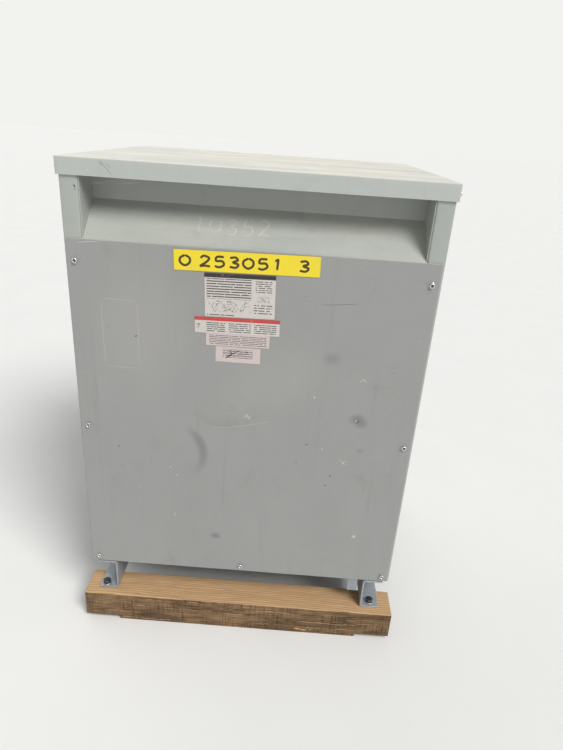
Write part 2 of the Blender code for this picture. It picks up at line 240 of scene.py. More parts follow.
def make_piece(name, points, faces, material, sharp=35.0, edge=0.0, replaced=(), marks=None):
    """Object for a closed surface: doubles merged, faces outward, smooth but for sharp angles."""
    mesh = bpy.data.meshes.new(name)
    mesh.from_pydata(points.reshape(-1, 3).tolist(), [], faces.tolist())
    for label, values in (marks or {}).items():
        layer = mesh.attributes.new(label, "FLOAT", "POINT")
        layer.data.foreach_set("value", np.ascontiguousarray(values, dtype=np.float32).ravel())
    shape = bmesh.new()
    shape.from_mesh(mesh)
    bmesh.ops.remove_doubles(shape, verts=shape.verts, dist=MERGE)
    bmesh.ops.dissolve_degenerate(shape, dist=MERGE, edges=shape.edges)
    bmesh.ops.recalc_face_normals(shape, faces=shape.faces)
    shape.to_mesh(mesh)
    shape.free()
    mesh.shade_smooth()
    mesh.set_sharp_from_angle(angle=math.radians(sharp))
    mesh.materials.append(material)
    piece = bpy.data.objects.new(name, mesh)
    bpy.context.scene.collection.objects.link(piece)
    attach(piece, "root")
    if replaced:
        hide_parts(*replaced)
    if edge > 0:
        soften(piece, edge)
    return piece


def soften(piece, width):
    """Small round along the sharp edges."""
    bevel = piece.modifiers.new("edge", "BEVEL")
    bevel.width = width
    bevel.segments = 2
    bevel.limit_method = "ANGLE"
    bevel.angle_limit = math.radians(50)


def dress_node(node, material, width):
    """Finish of a CAD solid that stays: its triangles are joined and its edges softened by modifiers."""
    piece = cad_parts[node]
    piece.data.materials.clear()
    piece.data.materials.append(material)
    weld = piece.modifiers.new("join", "WELD")
    weld.merge_threshold = NODE_MERGE
    soften(piece, width)


# Bent sheets


def bent_line(corners, radius, spacing):
    """Middle line of a bent sheet: straight runs in steps, joined by arcs of the given radius.

    Returns its points and the unit vector to the sheet's left side at each of them.
    """
    corners = np.asarray(corners, float)
    ahead = np.diff(corners, axis=0)
    ahead /= np.linalg.norm(ahead, axis=1, keepdims=True)
    left = np.stack([-ahead[:, 1], ahead[:, 0]], -1)
    points, sides, start = [corners[:1]], [left[:1]], corners[0]
    for i in range(len(ahead)):
        last = i == len(ahead) - 1
        turn, setback = 0.0, 0.0
        if not last:
            cross = ahead[i, 0] * ahead[i + 1, 1] - ahead[i, 1] * ahead[i + 1, 0]
            turn = math.atan2(cross, float(ahead[i] @ ahead[i + 1]))
            setback = radius * math.tan(abs(turn) / 2)
        stop = corners[i + 1] - ahead[i] * setback
        count = max(int(math.ceil(np.linalg.norm(stop - start) / spacing)), 1)
        share = np.linspace(0.0, 1.0, count + 1)[1:, None]
        points.append(start + share * (stop - start))
        sides.append(np.repeat(left[i:i + 1], count, axis=0))
        if last:
            break
        hand = math.copysign(1.0, turn)
        angle = turn * np.linspace(0.0, 1.0, ROUND_STEPS + 1)[1:]
        turned = np.stack([left[i, 0] * np.cos(angle) - left[i, 1] * np.sin(angle),
                           left[i, 0] * np.sin(angle) + left[i, 1] * np.cos(angle)], -1)
        points.append(stop + hand * radius * (left[i] - turned))
        sides.append(turned)
        start = corners[i + 1] + ahead[i + 1] * setback
    return np.concatenate(points), np.concatenate(sides)


def swept_sheets(pieces, corners, thickness, radius, order, span, material,
                 spacing=0.02, stations=30, wave=None, edge=CUT_EDGE):
    """Bent sheet swept along a straight run, for each piece's name and the CAD node it replaces.

    The section goes along one side of the middle line and back along the other. Order names
    the axes of the section and of the run, span is where the run starts and ends, and wave
    swells the sheet sideways. The second piece is the first one after half a turn.
    """
    line, side = bent_line(corners, radius, spacing)
    count = len(line)
    middle = np.concatenate([line, line[::-1]])
    lean = np.concatenate([side, side[::-1]])
    share = np.linspace(0.0, 1.0, stations)[:, None]
    along = span[0] + share * np.full(2 * count, span[1] - span[0])
    shift = np.repeat([thickness / 2, -thickness / 2], count)
    if wave:
        shift = shift + wave(middle, along)
    points = np.empty(along.shape + (3,))
    local = (middle[:, 0] + shift * lean[:, 0], middle[:, 1] + shift * lean[:, 1], along)
    for axis, value in zip(order, local):
        points[..., "xyz".index(axis)] = value
    step = np.arange(count - 1)
    end = np.stack([step, step + 1, 2 * count - 2 - step, 2 * count - 1 - step], -1)
    faces = np.concatenate([quad_rows(stations, 2 * count, True), end, end + (stations - 1) * 2 * count])
    for (name, node), turn in zip(pieces, (NO_TURN, HALF_TURN)):
        make_piece(name, points * turn, faces, material, edge=edge, replaced=(node,))


# Shells over rounded rectangles


def ring_pattern(steps_x, steps_y, steps_corner):
    """Walk round a rectangle, anticlockwise: place along the sides (-1 to 1) and outward direction."""
    parts = []
    for quarter, steps in enumerate((steps_y, steps_x, steps_y, steps_x)):
        run = np.linspace(-1.0, 1.0, steps + 1)
        bend = np.linspace(0.0, math.pi / 2, steps_corner + 1)[1:-1]
        along = np.concatenate([run, np.ones(len(bend))])
        angle = np.concatenate([np.zeros(len(run)), bend])
        part = np.stack([np.ones(len(along)), along, np.cos(angle), np.sin(angle)], -1)
        for _ in range(quarter):
            part = np.stack([-part[:, 1], part[:, 0], -part[:, 3], part[:, 2]], -1)
        parts.append(part)
    return np.concatenate(parts)


def ring_points(pattern, half_x, half_y, radius, inset):
    """Rounded rectangle drawn in by each inset, its sides and its corner radius shrinking alike."""
    inset = np.asarray(inset, float)[:, None]
    reach_x = np.maximum(half_x - inset, 0.0)
    reach_y = np.maximum(half_y - inset, 0.0)
    corner = np.minimum(np.clip(radius - inset, 0.0, None), np.minimum(reach_x, reach_y))
    x = pattern[:, 0] * (reach_x - corner) + pattern[:, 2] * corner
    y = pattern[:, 1] * (reach_y - corner) + pattern[:, 3] * corner
    return x, y


def plate_profile(half, thickness, round_edge, steps):
    """Inset and depth of a flat plate: from its middle to the rim, round the rim, and back."""
    reach = round_edge + (half - round_edge) * np.linspace(1.0, 0.0, steps + 1) ** 1.4
    bend = np.linspace(0.0, math.pi / 2, 4)[1:]
    rim = round_edge * (1 - np.sin(bend))
    fall = round_edge * (1 - np.cos(bend))
    inset = np.concatenate([reach, rim, rim[::-1], reach[::-1]])
    face = np.zeros(steps + 1)
    depth = np.concatenate([face, fall, thickness - fall[::-1], face + thickness])
    return inset, depth


def lid_height(x, y, half_x, half_y, sag):
    """Sag of the lid's top: a cosine dish with soft dents, nothing at the rim."""
    rim = ease(np.minimum(half_x - np.abs(x), half_y - np.abs(y)), 0.004, 0.09)
    dish = np.cos(x / half_x * math.pi / 2) * np.cos(y / half_y * math.pi / 2)
    dents = soft_noise(x / 0.15 + 9.0, y / 0.13 + 4.0, 11)
    return -sag * rim * (0.55 * dish + 0.25 * (1 + dents))


def build_lid(looks, material):
    """Pan: from the middle of the top, over a round edge, down the flange, round its lip and back."""
    low, high = corners_of("lid")
    half_x, half_y = high[0], high[1]
    sheet, fold, lip = SHEET, SHEET_BEND, CUT_EDGE
    top, bottom = high[2], low[2]
    bend = np.linspace(0.0, math.pi / 2, ROUND_STEPS + 1)
    reach = np.linspace(half_y, fold, 26)[:-1]
    drop = np.linspace(top - fold, bottom + lip, 5)[1:]
    inset = np.concatenate([
        reach, fold * (1 - np.sin(bend)), np.zeros(len(drop)), [lip, sheet - lip],
        np.full(len(drop), sheet), fold - (fold - sheet) * np.sin(bend[::-1]), reach[::-1]])
    height = np.concatenate([
        np.full(len(reach), top), top - fold * (1 - np.cos(bend)), drop, [bottom, bottom],
        drop[::-1], top - fold + (fold - sheet) * np.cos(bend[::-1]), np.full(len(reach), top - sheet)])
    pattern = ring_pattern(48, 42, 5)
    x, y = ring_points(pattern, half_x, half_y, fold, inset)
    z = height[:, None] + lid_height(x, y, half_x, half_y, looks.lid_sag)
    hang = ease(top - fold - height, 0.0, top - fold - bottom)[:, None]
    edge_wave = soft_noise(x / 0.11 + 3.0, y / 0.11 + 7.0, 5) * looks.flange_wave * hang
    points = np.stack([x + pattern[:, 2] * edge_wave, y + pattern[:, 3] * edge_wave,
                       z + 0.6 * np.abs(edge_wave) * (height < top - fold)[:, None]], -1)
    make_piece("lid_pan", points, quad_rows(len(inset), len(pattern), True), material, replaced=("lid",))


# Screws of a cover: heights of the side rows, distance from the middle, and how far round itself
# each one holds the sheet flat; the lowest height has one more in the middle
SCREW_RISES = (1.011, 0.608, 0.2035)
SCREW_REACH = 0.3845
SCREW_HOLD = 0.075
COVER_HALF = 0.402
COVER_SCREWS = [(side * SCREW_REACH, rise) for side in (-1, 1) for rise in SCREW_RISES]
COVER_SCREWS.append((0.0, SCREW_RISES[-1]))


def cover_swell(x, z, swell):
    """Swelling of a cover: a low dome with soft dents that each screw draws back to nothing."""
    held = np.ones(np.shape(x))
    for screw_x, screw_z in COVER_SCREWS:
        held = held * (1 - np.exp(-((x - screw_x) ** 2 + (z - screw_z) ** 2) / SCREW_HOLD ** 2))
    dome = 0.5 + 0.5 * np.cos(x / COVER_HALF * math.pi / 2)
    dents = 0.5 + 0.5 * soft_noise(x / 0.19 + 5.0, z / 0.23 + 2.0, 23)
    return swell * held * (0.45 * dome + 0.55 * dents)


def build_cover(name, node, turn, looks, material):
    """Flat sheet with rounded rims, swollen between its screws."""
    low, high = corners_of(node)
    half_x, half_z = high[0], (high[2] - low[2]) / 2
    middle_z = (high[2] + low[2]) / 2
    thickness = high[1] - low[1]
    rim, corner = 0.0005, 0.0015
    inset, depth = plate_profile(half_x, thickness, rim, 30)
    pattern = ring_pattern(66, 72, 4)
    x, z = ring_points(pattern, half_x, half_z, corner, inset)
    z = z + middle_z
    face = max(abs(low[1]), abs(high[1]))
    y = -face + depth[:, None] - cover_swell(x * turn[0], z, looks.cover_bulge)
    points = np.stack([x, y, z], -1) * turn
    make_piece(name, points, quad_rows(len(inset), len(pattern), True), material, replaced=(node,))


def build_side_walls(looks, material):
    """Walls folded round to the posts and their lips, swollen along the flat."""
    low, high = corners_of("side_panel_right")
    lip = 0.012
    inner, outer = low[0] + SHEET / 2, high[0] - SHEET / 2
    front = -high[1] + SHEET / 2
    corners = [(inner, front + lip), (inner, front), (outer, front),
               (outer, -front), (inner, -front), (inner, -front - lip)]

    def wave(middle, along):
        flat = ease(high[0] - 0.004 - middle[:, 0], 0.0, -0.0005)
        flat = flat * ease(high[1] - np.abs(middle[:, 1]), 0.004, 0.08)
        rise = ease(along - low[2], 0.0, 0.1) * ease(high[2] - 0.05 - along, 0.0, 0.1)
        dents = soft_noise(middle[:, 1] / 0.21 + 3.0, along / 0.27, 31)
        return -looks.wall_bulge * flat * rise * (0.55 + 0.45 * dents)

    pieces = [("side_wall_" + side, "side_panel_" + side) for side in ("right", "left")]
    swept_sheets(pieces, corners, SHEET, SHEET_BEND, "xyz", (low[2], high[2]), material,
                 stations=56, wave=wave)


# Deflector: height of the strip behind the cover, of its upright wall, and width of the lip on top
DEFLECTOR_SEAT = 0.030
DEFLECTOR_WALL = 0.050
DEFLECTOR_LIP = 0.012


def build_deflectors(material):
    """Sheets that hang behind a cover's top edge, slope inward above it and end in an upright wall."""
    low, high = corners_of("front_deflector")
    front, back = low[1] + SHEET / 2, high[1] - DEFLECTOR_LIP
    crown = high[2] - SHEET / 2
    corners = [(front, low[2]), (front, low[2] + DEFLECTOR_SEAT - SHEET / 2),
               (back, crown - DEFLECTOR_WALL), (back, crown), (high[1], crown)]
    pieces = [(side + "_baffle", side + "_deflector") for side in ("front", "rear")]
    swept_sheets(pieces, corners, SHEET, SHEET_BEND, "yzx", (-high[0], high[0]), material, stations=40)


def build_recess_ends(material):
    """Plates that close the ends of each recess, from the deflector's slope to the top of its wall."""
    low, high = corners_of("front_deflector")
    stations = 14
    share = np.linspace(0.0, 1.0, stations)[:, None]
    y = np.linspace(low[1] + SHEET, high[1] - DEFLECTOR_LIP - SHEET / 2, stations)[:, None]
    slope = low[2] + DEFLECTOR_SEAT + (high[2] - DEFLECTOR_WALL - low[2] - DEFLECTOR_SEAT) * share
    x = high[0] - SHEET * np.array([0.0, 0.0, 1.0, 1.0])
    z = np.where([False, True, True, False], high[2], slope)
    plate = np.stack(np.broadcast_arrays(x, y, z), -1)
    ends = np.arange(4) + [[0], [4 * (stations - 1)]]
    faces = np.concatenate([quad_rows(stations, 4, True), ends])
    mirror = np.array([-1.0, 1.0, 1.0])
    turns = (NO_TURN, mirror, HALF_TURN, HALF_TURN * mirror)
    shapes = [((plate * turn).reshape(-1, 3), faces) for turn in turns]
    make_piece("recess_ends", *join_shapes(shapes), material, edge=CUT_EDGE)


def build_sills_and_tab(material, tab_material):
    """Angles behind the foot of each cover, and the bent tab that hangs by the right foot."""
    low, high = corners_of("front_sill")
    sheet = 0.0025
    upright, foot = low[1] + sheet / 2, low[2] + sheet / 2
    pieces = [(side + "_angle", side + "_sill") for side in ("front", "rear")]
    swept_sheets(pieces, [(upright, high[2]), (upright, foot), (high[1], foot)], sheet, SHEET_BEND,
                 "yzx", (-high[0], high[0]), material, stations=24)
    low, high = corners_of("hanging_tab")
    sheet = 0.003
    upright, crown = low[1] + sheet / 2, high[2] - sheet / 2
    swept_sheets([("bent_tab", "hanging_tab")], [(upright, low[2]), (upright, crown), (high[1], crown)],
                 sheet, SHEET_BEND, "yzx", (low[0], high[0]), tab_material, spacing=0.006, stations=6)


def build_rails(material):
    """Channels from front to rear, whose flanges turn outward."""
    low, high = corners_of("base_rail_right")
    inner, outer = low[0] + RAIL_SHEET / 2, high[0]
    floor, crown = low[2] + RAIL_SHEET / 2, high[2] - RAIL_SHEET / 2
    pieces = [("channel_" + side, "base_rail_" + side) for side in ("right", "left")]
    corners = [(outer, floor), (inner, floor), (inner, crown), (outer, crown)]
    swept_sheets(pieces, corners, RAIL_SHEET, RAIL_BEND, "xzy", (-high[1], high[1]), material,
                 spacing=0.012, edge=0.0006)


# Turned and hexagonal heads


def turned_shape(profile, steps):
    """Surface turned about +Z. Profile rows are radius, height and share of a hexagon.

    The radius is half the width across the flats; a full hexagon's outline is that
    radius over the cosine of the angle from the nearest flat.
    """
    radius, height, hexagon = np.asarray(profile, float).T[:3, :, None]
    angle = 2 * math.pi * np.arange(steps) / steps
    flat = 1 / np.cos((angle + math.pi / 6) % (math.pi / 3) - math.pi / 6)
    reach = radius * (1 + hexagon * (flat - 1))
    points = np.stack(np.broadcast_arrays(reach * np.cos(angle), reach * np.sin(angle), height), -1)
    return points.reshape(-1, 3), quad_rows(len(profile), steps, True)


def copies(points, faces, places, axes, seed):
    """The same shape at several places, its +Z along each axis, spun about it by a seeded angle."""
    spins = np.random.default_rng(seed).uniform(0.0, 2 * math.pi, len(places))
    all_points, all_faces = [], []
    for index, (place, axis, spin) in enumerate(zip(places, axes, spins)):
        turn = np.array(Vector((0, 0, 1)).rotation_difference(Vector(axis)).to_matrix())
        spun = np.stack([points[:, 0] * math.cos(spin) - points[:, 1] * math.sin(spin),
                         points[:, 0] * math.sin(spin) + points[:, 1] * math.cos(spin), points[:, 2]], -1)
        all_points.append(spun @ turn.T + np.asarray(place))
        all_faces.append(faces + index * len(points))
    return np.concatenate(all_points), np.concatenate(all_faces)


def screw_profile(sizes):
    """Hex washer head: dimple, crown, chamfer, flats, sloping collar and its thin rim.

    The last number of a row is how dark it is painted: painted shade in the dimple, and grime and painted
    shade round the collar.
    """
    half, collar, tall = sizes.screw_flats / 2, sizes.collar_width / 2, sizes.screw_height
    dimple = sizes.recess_width / 2
    rim = 0.0009
    return [(0.0, tall - 0.0025, 0, 1), (dimple * 0.60, tall - 0.0024, 0, 1),
            (dimple * 0.88, tall - 0.0015, 0, 0.9), (dimple, tall - 0.0003, 0, 0.3),
            (dimple + 0.0003, tall, 0, 0), (half * 0.90, tall, 0, 0),
            (half * 0.985, tall - 0.0004, 0.35, 0), (half, tall - 0.0011, 1, 0.1),
            (half, rim + 0.0006, 1, 0.7), (half * 1.14, rim + 0.0003, 0.5, 0.9),
            (collar * 0.93, rim, 0, 0.35), (collar, rim - 0.0003, 0, 0.5),
            (collar, 0.0001, 0, 1), (collar * 0.97, 0.0, 0, 1), (0.0, 0.0, 0, 1)]


def build_screws(sizes, material):
    """Screws of both covers and of the lid's side flanges."""
    profile = screw_profile(sizes)
    steps = 36
    shape = turned_shape(profile, steps)
    # Darkness of each point: painted shade in the dimple, grime and painted shade round the collar
    dirt_and_shade = np.repeat([row[3] for row in profile], steps)

    def place_screws(name, seats, axes, seed):
        marks = {"dirt_and_shade": np.tile(dirt_and_shade, len(seats))}
        make_piece(name, *copies(*shape, seats, axes, seed), material, sharp=28, marks=marks)

    face = corners_of("front_cover")[0][1]
    for name, side, seed in (("front", 1, 3), ("rear", -1, 4)):
        seats = [(x, side * face, z) for x, z in COVER_SCREWS]
        place_screws(name + "_cover_screws", seats, [(0, -side, 0)] * len(seats), seed)
    low, high = corners_of("lid")
    setback, rise = 0.018, 0.0155
    seats = [(side_x * high[0], side_y * (high[1] - setback), low[2] + rise)
             for side_x in (-1, 1) for side_y in (-1, 1)]
    place_screws("lid_screws", seats, [(math.copysign(1, seat[0]), 0, 0) for seat in seats], 6)


# Where the lag bolts stand in the feet, in metres: x and y
LAG_PLACES = ((-0.375, -0.334), (0.366, -0.330), (-0.371, 0.331), (0.369, 0.335))


def build_lag_bolts(sizes, lag_material, washer_material):
    """Lag bolts with flat washers through the rails' lower flanges into the timbers."""
    seat = corners_of("base_rail_right")[0][2] + RAIL_SHEET
    washer, thick = sizes.washer_width / 2, sizes.washer_height
    half, tall = sizes.lag_flats / 2, sizes.lag_height
    soft = 0.0005
    ring = [(0.0, thick, 0), (washer - soft, thick, 0), (washer, thick - soft, 0), (washer, soft, 0),
            (washer - soft, 0.0, 0), (0.0, 0.0, 0)]
    head = [(0.0, tall, 0), (half * 0.82, tall, 0), (half * 0.93, tall - 0.0003, 0.1),
            (half, tall - 0.0016, 1), (half, 0.0008, 1), (half * 0.97, 0.0, 1), (0.0, 0.0, 1)]
    places = [(x, y, seat) for x, y in LAG_PLACES]
    up = [(0, 0, 1)] * len(places)
    make_piece("lag_washers", *copies(*turned_shape(ring, 48), places, up, 8), washer_material, sharp=30)
    lifted = [(x, y, z + thick) for x, y, z in places]
    make_piece("lag_bolts", *copies(*turned_shape(head, 36), lifted, up, 9), lag_material, sharp=28)


# Skid timbers


# Cracks: place across the face, start and end along the timber, strength
FRONT_CRACKS = ((0.010, -0.41, -0.14, 0.9), (0.031, -0.40, -0.21, 0.6), (0.052, -0.33, 0.05, 1.0),
                (0.068, -0.12, 0.20, 0.7), (0.022, 0.02, 0.36, 0.8), (0.043, 0.12, 0.40, 1.0),
                (0.060, 0.24, 0.41, 0.7), (0.078, -0.30, -0.05, 0.6))
TOP_CRACKS = ((0.018, -0.10, 0.32, 0.35), (0.047, -0.38, -0.02, 0.45), (0.064, 0.10, 0.40, 0.4))
# Chips: place along and up the front, length, height
CHIP_PLACES = ((0.168, 0.013, 0.011, 0.0026), (0.188, 0.010, 0.013, 0.0022), (0.206, 0.013, 0.006, 0.0014))


def crack_field(x, across_face, cracks, seed):
    """Depth share of wandering cracks: a narrow notch about a line, fading out at both ends."""
    depth = np.zeros(np.broadcast(x, across_face).shape)
    for index, (line, start, stop, strength) in enumerate(cracks):
        wander = 0.0035 * soft_noise(x / 0.06 + index * 7.3, np.full(np.shape(x), 0.5), seed + index)
        width = 0.0009 + 0.0006 * soft_noise(x / 0.03, np.full(np.shape(x), index + 0.5), seed + 40)
        fade = ease(x, start, start + 0.05) * ease(-x, -stop, -stop + 0.05)
        notch = np.exp(-((across_face - line - wander) / width) ** 2)
        depth = np.maximum(depth, strength * fade * notch)
    return depth


def timber_depths(x, s, faces_of, looks, seed):
    """How far the timber's surface lies below the planed size, and how hollow and how fresh it is there.

    Fibres are noise stretched along the grain, saw marks are ripples across the sides,
    cracks are narrow notches along the grain and chips are shallow bowls at the edges.
    """
    front, top, bottom, from_foot, over_top = faces_of
    side = 1 - top
    fine = soft_noise(x / 0.045 + seed, s / 0.0021, seed) * 0.5 + 0.5
    coarse = soft_noise(x / 0.16, s / 0.009 + 5.0, seed + 1) * 0.5 + 0.5
    fibres = looks.fibre_depth * (0.45 * fine + 0.55 * coarse)
    stroke = 2 * math.pi * (x + 0.10 * from_foot) / 0.0082
    ripple = 0.5 + 0.5 * np.sin(stroke + 2.2 * soft_noise(x / 0.05, s / 0.05, seed + 2))
    struck = 0.4 + 0.6 * ease(soft_noise(x / 0.12, s / 0.03, seed + 3), -0.2, 0.6)
    saw = looks.saw_depth * ripple * struck * side
    cracks = side * crack_field(x, from_foot, FRONT_CRACKS, seed + 10)
    cracks = np.maximum(cracks, top * crack_field(x, over_top, TOP_CRACKS, seed + 20))
    edge = np.minimum(np.abs(from_foot - TIMBER_SIZE), np.abs(from_foot)) * side
    edge = edge + top * np.minimum(over_top, TIMBER_SIZE - over_top)
    bites = ease(soft_noise(x / 0.021, s / 0.4, seed + 4), 0.35, 0.8) * np.exp(-(edge / 0.0035) ** 2)
    fresh = np.zeros(np.shape(bites))
    ragged = 1 + 0.35 * soft_noise(x / 0.006, s / 0.002, seed + 5)
    for place_x, place_z, length, height in CHIP_PLACES:
        bowl = ((x - place_x) / length) ** 2 + ((from_foot - place_z) / height) ** 2
        fresh = np.maximum(fresh, front * ease(-bowl * ragged, -1.0, -0.35))
    calm = 1 - 0.85 * bottom
    depth = calm * (fibres + saw + looks.crack_depth * cracks + 0.0022 * bites + 0.0010 * fresh)
    # The hollow share marks cracks and patches of fibre that the colour darkens: painted shade in the
    # cracks
    return depth, np.clip(cracks + 0.35 * (1 - coarse) * side * fine, 0.0, 1.0), fresh


def build_timber(name, node, seed, looks, material):
    """Square timber: rings from the middle of one end over its rim, along the beam and in again."""
    low, high = corners_of(node)
    middle = (low + high) / 2
    half_x, half_y, half_z = (high - low) / 2
    round_edge = 0.0024
    pattern = ring_pattern(looks.face_steps, looks.face_steps, 4)
    reach = np.linspace(half_y, round_edge, 12)[:-1]
    bend = np.linspace(0.0, math.pi / 2, 4)
    run = np.linspace(-half_x + round_edge, half_x - round_edge, looks.along_steps + 1)[1:-1]
    shoulder = half_x - looks.notch_length
    near = 0.0003
    steps = [side * shoulder + step for side in (-1, 1) for step in (-near, near)]
    run = np.sort(np.concatenate([run, steps]))
    rim = round_edge * (1 - np.sin(bend))
    start = -half_x + round_edge * (1 - np.cos(bend))
    inset = np.concatenate([reach, rim, np.zeros(len(run)), rim[::-1], reach[::-1]])
    end = np.full(len(reach), half_x)
    x = np.concatenate([-end, start, run, -start[::-1], end])
    y, z = ring_points(pattern, half_y, half_z, round_edge, inset)
    full_y, full_z = ring_points(pattern, half_y, half_z, round_edge, [0.0])
    walk = np.hypot(np.diff(full_y[0], append=full_y[0, :1]), np.diff(full_z[0], append=full_z[0, :1]))
    s = np.concatenate([[0.0], np.cumsum(walk)[:-1]])[None, :]
    x = np.repeat(x[:, None], len(pattern), axis=1)
    side = -1 if middle[1] < 0 else 1
    outward_y, outward_z = pattern[None, :, 2], pattern[None, :, 3]
    faces_of = (ease(side * outward_y, 0.5, 0.9), ease(outward_z, 0.5, 0.9), ease(-outward_z, 0.5, 0.9),
                full_z + half_z, full_y + half_y)
    depth, hollow, fresh = timber_depths(x, s, faces_of, looks, seed)
    on_side = ease(np.minimum(half_x - np.abs(x), 0.004), 0.0, 0.003)
    on_side = np.where(inset[:, None] > round_edge * 1.01, 0.0, np.maximum(on_side, 0.15))
    squash = ease(np.abs(x), shoulder - 0.0002, shoulder + 0.0002) * looks.notch_height
    z = z + half_z
    z = squash + z * (1 - squash / (2 * half_z)) - outward_z * depth * on_side
    y = y - outward_y * depth * on_side
    on_end = (inset[:, None] > 0).astype(float) * ease(inset[:, None], 0.0, 0.004)
    grain = 0.5 + 0.5 * soft_noise(y / 0.0032 + 2.0, z / 0.0032, seed + 7)
    wander = 0.003 * soft_noise(z / 0.01, y * 0, seed + 8)
    checks = np.exp(-((y + 0.35 * z - 0.012 + wander) / 0.0013) ** 2)
    wander = 0.003 * soft_noise(y / 0.01, z * 0, seed + 9)
    checks = np.maximum(checks, np.exp(-((z - 0.05 - 0.5 * y + wander) / 0.0011) ** 2))
    # Ends: checks that the colour darkens as painted shade, and uneven grain
    end_hollow = np.clip(checks * on_end + 0.3 * (1 - grain), 0, 1)
    hollow = np.where(inset[:, None] > 0, end_hollow, hollow)
    x = x - np.sign(x) * on_end * (0.0006 * grain + 0.0035 * checks)
    points = np.stack(np.broadcast_arrays(x + middle[0], y + middle[1], z + low[2]), -1)
    faces = quad_rows(len(inset), len(pattern), True)
    shape = points.shape[:2]
    make_piece(name, points, faces, material, sharp=60, replaced=(node,),
               marks={"hollow": np.broadcast_to(hollow, shape), "fresh": np.broadcast_to(fresh, shape)})


# Coils


def build_coil(name, node, looks, material):
    """Wound coil round a leg: outer winding in turns, higher insulating tubes and an inner bore."""
    low, high = corners_of(node)
    middle = (low + high) / 2
    outer_x, outer_y = (high - low)[:2] / 2
    build = 0.047
    inner_x, inner_y = outer_x - build, outer_y - build
    bottom, top = low[2], high[2]
    end, crest, rows_a_turn = 0.018, 0.0006, 4
    turns = int((top - bottom - 2 * end) / looks.turn_pitch)
    wall_z = np.linspace(bottom + end, top - end, turns * rows_a_turn + 1)
    groove = 0.5 + 0.5 * np.cos(2 * math.pi * np.arange(len(wall_z)) / rows_a_turn)
    wall = build - crest - looks.turn_depth * groove
    # Ends of the windings and tubes, from the bore outward: distance from the bore, and from the
    # coil's end
    tube_reach = [0.001, 0.001, 0.018, 0.0185, 0.0215, 0.022, 0.038, 0.0385, 0.0415, 0.042, build - 0.003]
    tube_rise = np.array([0.004, 0.012, 0.012, 0.0, 0.0, 0.011, 0.011, 0.002, 0.002, 0.014, 0.014])
    reach = np.concatenate([wall, tube_reach[::-1], tube_reach])
    height = np.concatenate([wall_z, top - tube_rise[::-1], bottom + tube_rise])
    bore_corner, outer_corner = 0.008, 0.045
    corner = bore_corner + reach * (outer_corner - bore_corner) / build
    pattern = ring_pattern(10, 12, 8)
    straight_x = inner_x + reach - corner
    straight_y = inner_y + reach - corner
    x = pattern[None, :, 0] * straight_x[:, None] + pattern[None, :, 2] * corner[:, None]
    y = pattern[None, :, 1] * straight_y[:, None] + pattern[None, :, 3] * corner[:, None]
    z = np.broadcast_to(height[:, None], x.shape)
    points = np.stack([x + middle[0], y + middle[1], z], -1)
    points = np.concatenate([points, points[:1]])
    faces = quad_rows(len(points), len(pattern), True)
    make_piece(name, points, faces, material, sharp=50, replaced=(node,))


# Stickers and marks


# Stickers: name, middle x, middle z under the cover's top edge, width, height, tilt in degrees
STICKERS = (
    ("yellow_sticker", -0.0135, -0.0271, 0.3150, 0.0447, 0.93),
    ("ruled_plate_sticker", -0.0261, -0.1010, 0.1555, 0.0989, 1.15),
    ("banded_sticker", -0.0300, -0.1706, 0.1910, 0.0378, 0.90),
    ("ruled_sticker", -0.0278, -0.2037, 0.1445, 0.0307, 0.55),
    ("small_sticker", -0.0262, -0.2394, 0.1026, 0.0380, -0.20),
)

# Layer of each sticker, counted outward from the paint, then metres from layer to layer and metres
# of ink on a sticker
STICKER_LAYERS = (5, 4, 3, 2, 1)
LAYER_STEP = 0.00018
INK_THICKNESS = 0.00005


def cover_face(x, z, looks):
    """Depth of the front cover's swollen outside."""
    return corners_of("front_cover")[0][1] - cover_swell(x, z, looks.cover_bulge)


def on_cover(row, u, v):
    """Where a sticker's own u and v lie on the front cover, as x and z."""
    tilt = math.radians(row[5])
    top = corners_of("front_cover")[1][2]
    return (row[1] + u * math.cos(tilt) - v * math.sin(tilt),
            top + row[2] + u * math.sin(tilt) + v * math.cos(tilt))


def build_sticker(row, layer, looks, sheet_looks, material):
    """Thin plate that follows the cover's swelling, with slightly lifted corners."""
    name, width, height = row[0], row[3], row[4]
    inset, depth = plate_profile(height / 2, looks.thickness, 0.00006, 7)
    grid = 0.004
    pattern = ring_pattern(int(width / grid), int(height / grid), 3)
    u, v = ring_points(pattern, width / 2, height / 2, 0.0015, inset)
    x, z = on_cover(row, u, v)
    corner = ease(np.abs(u), width / 2 - 0.012, width / 2)
    corner = corner * ease(np.abs(v), height / 2 - 0.009, height / 2)
    lift = 0.0006 * corner * ease(soft_noise(x / 0.07, z / 0.05, 90 + layer), 0.0, 0.5)
    y = cover_face(x, z, sheet_looks) - layer * LAYER_STEP - looks.thickness + depth[:, None] - lift
    marks = {"across": u / width + 0.5, "up": v / height + 0.5}
    faces = quad_rows(len(inset), len(pattern), True)
    make_piece(name, np.stack([x, y, z], -1), faces, material, marks=marks)


